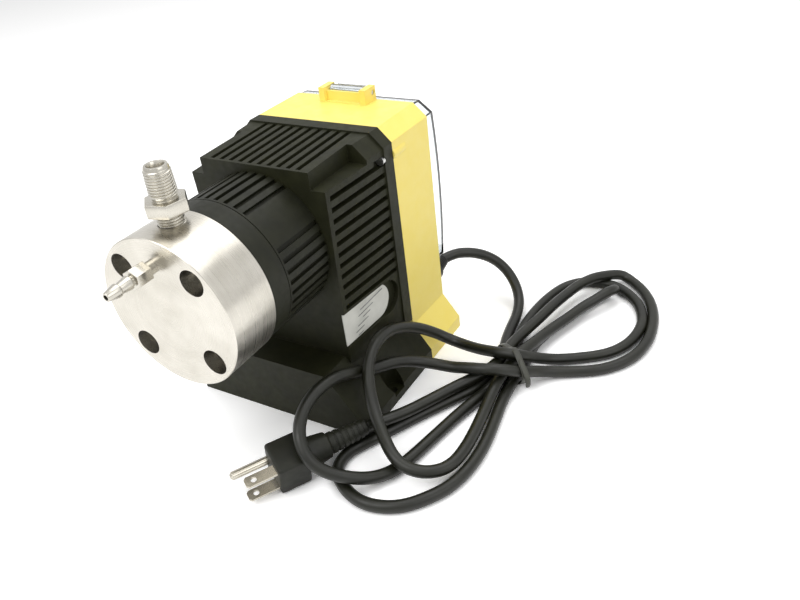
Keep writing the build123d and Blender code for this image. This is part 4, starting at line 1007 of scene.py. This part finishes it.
# ---------------------------------------------------------------- printing and trim
@dataclass
class CordGland:
    """Ribbed tapered gland from which the mains lead leaves."""

    palette: Palette
    ribs: int = 6
    neck: float = CORD_DIAMETER / 2
    collar_share: float = 0.7
    collar_length: float = 0.2
    flange_share: float = 0.52
    flange_chamfer: float = 0.8 * MM
    taper_share: float = 0.8
    tip_wall: float = 0.9 * MM
    groove: float = 0.8 * MM
    bore_share: float = 0.9
    lip: float = 0.3 * MM
    rib_shares: tuple[float, float, float] = (0.1, 0.55, 0.65)

    def build(self) -> bpy.types.Object:
        """Make the flange and the ribbed taper.

        Returns:
            The gland.
        """
        low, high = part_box("strain_relief")
        centre = ((low.x + high.x) / 2, low.y, (low.z + high.z) / 2)
        radius = (high.x - low.x) / 2
        length = high.y - low.y
        start = length * self.flange_share
        collar = radius * self.collar_share
        inner = self.neck * self.bore_share
        rib_low, rib_high, groove_low = self.rib_shares
        profile = [(inner, 0.0), (collar, 0.0), (collar, length * self.collar_length),
                   (radius, length * self.collar_length), (radius, start - self.flange_chamfer),
                   (radius - self.flange_chamfer, start)]
        step = (length - start) / self.ribs
        for i in range(self.ribs):
            share = i / self.ribs
            outer = radius * self.taper_share * (1 - share) + (self.neck + self.tip_wall) * share
            base = start + i * step
            profile += [(outer, base + rib_low * step), (outer, base + rib_high * step),
                        (outer - self.groove, base + groove_low * step), (outer - self.groove, base + step)]
        profile += [(self.neck + self.lip, length), (inner, length)]
        bm = bmesh.new()
        lathe(bm, profile, place_along(centre, (0, 1, 0)), 48)
        obj = finish_mesh(bm, "ribbed_cord_gland", 30)
        self.palette.dress(obj, Finish.KNOB)
        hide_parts("strain_relief")
        LOG.info("cord gland: %d ribs", self.ribs)
        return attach(obj, "root")


@dataclass
class Printing:
    """Generic printing: dial scales with plain numbers, and rules on the bare label."""

    palette: Palette
    film: float = 0.06 * MM
    stroke_size: float = 4.2 * MM
    speed_size: float = 2.6 * MM
    tick_count: int = 11
    first_tick: float = -150.0
    tick_turn: float = 30.0
    tick_width: float = 0.5 * MM
    main_tick_width: float = 0.9 * MM
    tick_share: float = 0.55
    number_share: float = 0.72
    number_reach: float = 0.95
    pointer_shares: Point = (0.09, 0.6, 0.55)
    rule_width: float = 0.45 * MM
    rule_margins: Pair = (1.2, 1.4)
    label_rules: tuple[Pair, ...] = (
        (0.30, 0.86), (0.24, 0.60), (0.34, 0.52), (0.20, 0.46), (0.14, 0.34), (0.18, 0.30),
    )

    def build(self) -> list[bpy.types.Object]:
        """Print the panel, the knobs and the label.

        Returns:
            The printed pieces.
        """
        knob_low, knob_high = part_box("stroke_knob")
        small_low, small_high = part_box("speed_knob")
        bm = bmesh.new()
        self.scale(bm, knob_low, knob_high, self.stroke_size)
        self.scale(bm, small_low, small_high, self.speed_size)
        slivers = [face for face in bm.faces if face.calc_area() < TINY ** 2]
        bmesh.ops.delete(bm, geom=slivers, context="FACES")
        dials = self.printed(bm, "dial_scales", Finish.PRINT_WHITE, "root")
        pieces = [dials, self.pointer("stroke_knob", knob_low, knob_high),
                  self.pointer("speed_knob", small_low, small_high), self.label()]
        LOG.info("printing: %d pieces", len(pieces))
        return pieces

    def printed(self, bm: bmesh.types.BMesh, name: str, finish: Finish, body: str) -> bpy.types.Object:
        """Finish one printed piece and put it on a body.

        Args:
            bm: its mesh.
            name: its name.
            finish: its ink.
            body: the body that it moves with.

        Returns:
            The printed piece.
        """
        obj = finish_mesh(bm, name, turn_out=False)
        self.palette.dress(obj, finish)
        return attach(obj, body)

    def scale(self, bm: bmesh.types.BMesh, low: Vector, high: Vector, size: float) -> None:
        """Add ticks and plain numbers, 0 to 100 over 300 degrees, round a knob.

        Args:
            bm: the mesh to add to.
            low: the lower corner of the knob's box.
            high: the upper corner of the knob's box.
            size: height of the numbers.
        """
        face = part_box("control_panel")[1].y + self.film
        centre = (low + high) / 2
        radius = (high.x - low.x) / 2
        tick = size * self.tick_share
        for step in range(self.tick_count):
            turn = math.radians(self.first_tick + self.tick_turn * step)
            out = Vector((-math.sin(turn), 0, math.cos(turn)))
            middle = Vector((centre.x, face, centre.z)) + out * (radius + tick)
            place = Matrix.Translation(middle) @ Matrix.Rotation(-turn, 4, "Y")
            width = self.tick_width if step % 5 else self.main_tick_width
            self.bar(bm, place, width, tick, self.film / 2)
            if step % 2 == 0:
                self.number(bm, str(step * 10), middle + out * size * self.number_reach,
                            size * self.number_share)

    def bar(self, bm: bmesh.types.BMesh, place: Matrix, width: float, height: float, lift: float) -> None:
        """Add a flat bar in the XZ plane of a matrix, facing along its Y.

        Args:
            bm: the mesh to add to.
            place: the matrix that holds the bar's middle.
            width: size along the matrix's X.
            height: size along the matrix's Z.
            lift: distance of the bar along the matrix's Y.
        """
        flat = (Matrix.Translation((0, lift, 0)) @ Matrix.Rotation(-math.pi / 2, 4, "X")
                @ Matrix.Diagonal((width, height, 1, 1)))
        bmesh.ops.create_grid(bm, x_segments=1, y_segments=1, size=0.5, matrix=place @ flat)

    def number(self, bm: bmesh.types.BMesh, text: str, middle: Vector, size: float) -> None:
        """Add a plain number that reads from behind the panel.

        Args:
            bm: the mesh to add to.
            text: the digits.
            middle: the centre of the number.
            size: height of the digits.
        """
        curve = bpy.data.curves.new("digits", "FONT")
        curve.body = text
        curve.size = size
        curve.align_x = "CENTER"
        curve.align_y = "CENTER"
        curve.resolution_u = 3
        holder = bpy.data.objects.new("digits", curve)
        mesh = bpy.data.meshes.new_from_object(holder)
        turn = Matrix(((-1, 0, 0, 0), (0, 0, 1, 0), (0, 1, 0, 0), (0, 0, 0, 1)))
        mesh.transform(Matrix.Translation(middle) @ turn)
        bm.from_mesh(mesh)
        bpy.data.objects.remove(holder)
        bpy.data.meshes.remove(mesh)
        bpy.data.curves.remove(curve)

    def pointer(self, knob: str, low: Vector, high: Vector) -> bpy.types.Object:
        """White pointer line on a knob's face, which turns with it.

        Args:
            knob: the knob's node.
            low: the lower corner of its box.
            high: the upper corner of its box.

        Returns:
            The pointer.
        """
        radius = (high.x - low.x) / 2
        centre = (low + high) / 2
        width, length, reach = (radius * share for share in self.pointer_shares)
        middle = Vector((centre.x, high.y, centre.z + reach))
        bm = bmesh.new()
        self.bar(bm, Matrix.Translation(middle), width, length, self.film)
        return self.printed(bm, knob + "_pointer", Finish.PRINT_WHITE, body_of(knob))

    def label(self) -> bpy.types.Object:
        """Thin rules on the label of the side wall, in place of its words.

        Returns:
            The rules as one object.
        """
        low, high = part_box("nameplate")
        width = high.y - low.y
        height = high.z - low.z
        facing_out = Matrix.Rotation(-math.pi / 2, 4, "Z")
        above, around = self.rule_margins
        bm = bmesh.new()
        for row, (start, end) in enumerate(self.label_rules):
            level = high.z - height * (row + above) / (len(self.label_rules) + around)
            middle = Vector((high.x, low.y + width * (start + end) / 2, level))
            place = Matrix.Translation(middle) @ facing_out
            self.bar(bm, place, width * (end - start), self.rule_width, self.film)
        return self.printed(bm, "label_rules", Finish.PRINT_DARK, "root")


def body_of(node: str) -> str:
    """Find the body that a node moves with.

    Args:
        node: the node's name, such as a knob's.

    Returns:
        The body's name.
    """
    groups = frame["record"]["behaviour"]["bodies"]
    return next((body for body, nodes in groups.items() if node in nodes), "root")


# ---------------------------------------------------------------- studio
@dataclass(frozen=True)
class Camera:
    """The camera, by its place in millimetres and its three axes."""

    place_mm: Point = (266.92, -316.60, 302.88)
    right: Point = (0.86278085, 0.49432612, -0.1060702)
    up: Point = (-0.19429344, 0.51787607, 0.83309929)
    back: Point = (0.46675396, -0.69817338, 0.54285788)
    focal_mm: float = 34.665
    sensor_mm: float = 36.0
    nearest: float = 0.01

    def build(self) -> bpy.types.Object:
        """Make the camera and set it as the scene's.

        Returns:
            The camera object.
        """
        data = bpy.data.cameras.new("studio_camera")
        data.lens = self.focal_mm
        data.sensor_width = self.sensor_mm
        data.sensor_fit = "HORIZONTAL"
        data.clip_start = self.nearest
        camera = bpy.data.objects.new("studio_camera", data)
        turn = Matrix((self.right, self.up, self.back)).transposed().to_4x4()
        camera.matrix_world = Matrix.Translation(Vector(self.place_mm) * MM) @ turn
        bpy.context.scene.collection.objects.link(camera)
        bpy.context.scene.camera = camera
        return camera


@dataclass(frozen=True)
class Softbox:
    """One square area light, aimed at a point; sizes in metres and power in watts."""

    name: str
    place: Point
    target: Point
    size: float
    power: float

    def build(self) -> bpy.types.Object:
        """Hang the light.

        Returns:
            The light object.
        """
        data = bpy.data.lights.new(self.name, "AREA")
        data.shape = "SQUARE"
        data.size = self.size
        data.energy = self.power
        lamp = bpy.data.objects.new(self.name, data)
        lamp.matrix_world = place_along(self.place, Vector(self.place) - Vector(self.target))
        bpy.context.scene.collection.objects.link(lamp)
        return lamp


@dataclass
class Studio:
    """Pale floor, soft lights and white surroundings."""

    floor_half: float = 3.0
    floor_tone: float = 0.8
    floor_seen: float = 1.3
    room_glow: float = 0.5
    room_seen: float = 1.0
    lights: tuple[Softbox, ...] = (
        Softbox("key_softbox", (-0.25, -0.75, 1.1), (0, 0, 0.08), 0.9, 9),
        Softbox("fill_softbox", (1.2, -0.2, 0.9), (0.05, 0, 0.05), 1.0, 5),
        Softbox("top_softbox", (0.1, 0.5, 1.4), (0, 0, 0.05), 1.2, 9),
    )

    def build(self) -> None:
        """Make the floor, the lights and the pale surroundings."""
        self.floor()
        for light in self.lights:
            light.build()
        self.surroundings()
        LOG.info("studio: floor and %d softboxes", len(self.lights))

    def floor(self) -> bpy.types.Object:
        """Make the pale floor: white to the camera and in reflections, softer as a bounce.

        Returns:
            The floor.
        """
        bm = bmesh.new()
        bmesh.ops.create_grid(bm, x_segments=1, y_segments=1, size=self.floor_half)
        obj = finish_mesh(bm, "studio_floor")
        shader = Shader("pale_studio_floor")
        path = shader.add("ShaderNodeLightPath").outputs
        seen = shader.either(path["Is Camera Ray"], path["Is Glossy Ray"])
        tone = shader.add("ShaderNodeMapRange", {"Value": seen, "To Min": self.floor_tone,
                                                 "To Max": self.floor_seen})
        paint = shader.add("ShaderNodeBsdfDiffuse", {"Color": tone.outputs["Result"]})
        shader.feed(shader.tree.nodes["Material Output"], "Surface", paint.outputs["BSDF"])
        obj.data.materials.append(shader.material)
        return obj

    def surroundings(self) -> None:
        """Make the surroundings: white where they are seen or mirrored, softer as a light."""
        world = bpy.data.worlds.new("white_room")
        bpy.context.scene.world = world
        world.use_nodes = True
        room = Nodes(world.node_tree)
        path = room.add("ShaderNodeLightPath").outputs
        clear = room.either(path["Is Camera Ray"], path["Is Transmission Ray"])
        seen = room.either(clear, path["Is Glossy Ray"])
        glow = room.add("ShaderNodeMapRange", {"Value": seen, "To Min": self.room_glow,
                                               "To Max": self.room_seen})
        backdrop = room.tree.nodes["Background"]
        room.feed(backdrop, "Color", (1, 1, 1, 1))
        room.feed(backdrop, "Strength", glow.outputs["Result"])


def dress_nodes(palette: Palette) -> None:
    """Give every carried-over solid its finish.

    Args:
        palette: the finishes.
    """
    for finish, names in NODES_BY_FINISH.items():
        for name in names:
            palette.dress(frame["nodes"][name], finish)
    LOG.info("finishes: %d nodes", sum(len(names) for names in NODES_BY_FINISH.values()))


def main() -> None:
    """Build the whole scene."""
    bpy.context.scene.view_settings.view_transform = "Standard"
    Camera().build()
    palette = Palette.create()
    TwistTie(palette).build()
    MouldedPlug(palette).build()
    MainsLead(palette).build()
    dress_nodes(palette)
    OutletNipple(palette).build()
    HoseTail(palette).build()
    CordGland(palette).build()
    Printing(palette).build()
    Studio().build()


if __name__ == "__main__":
    main()
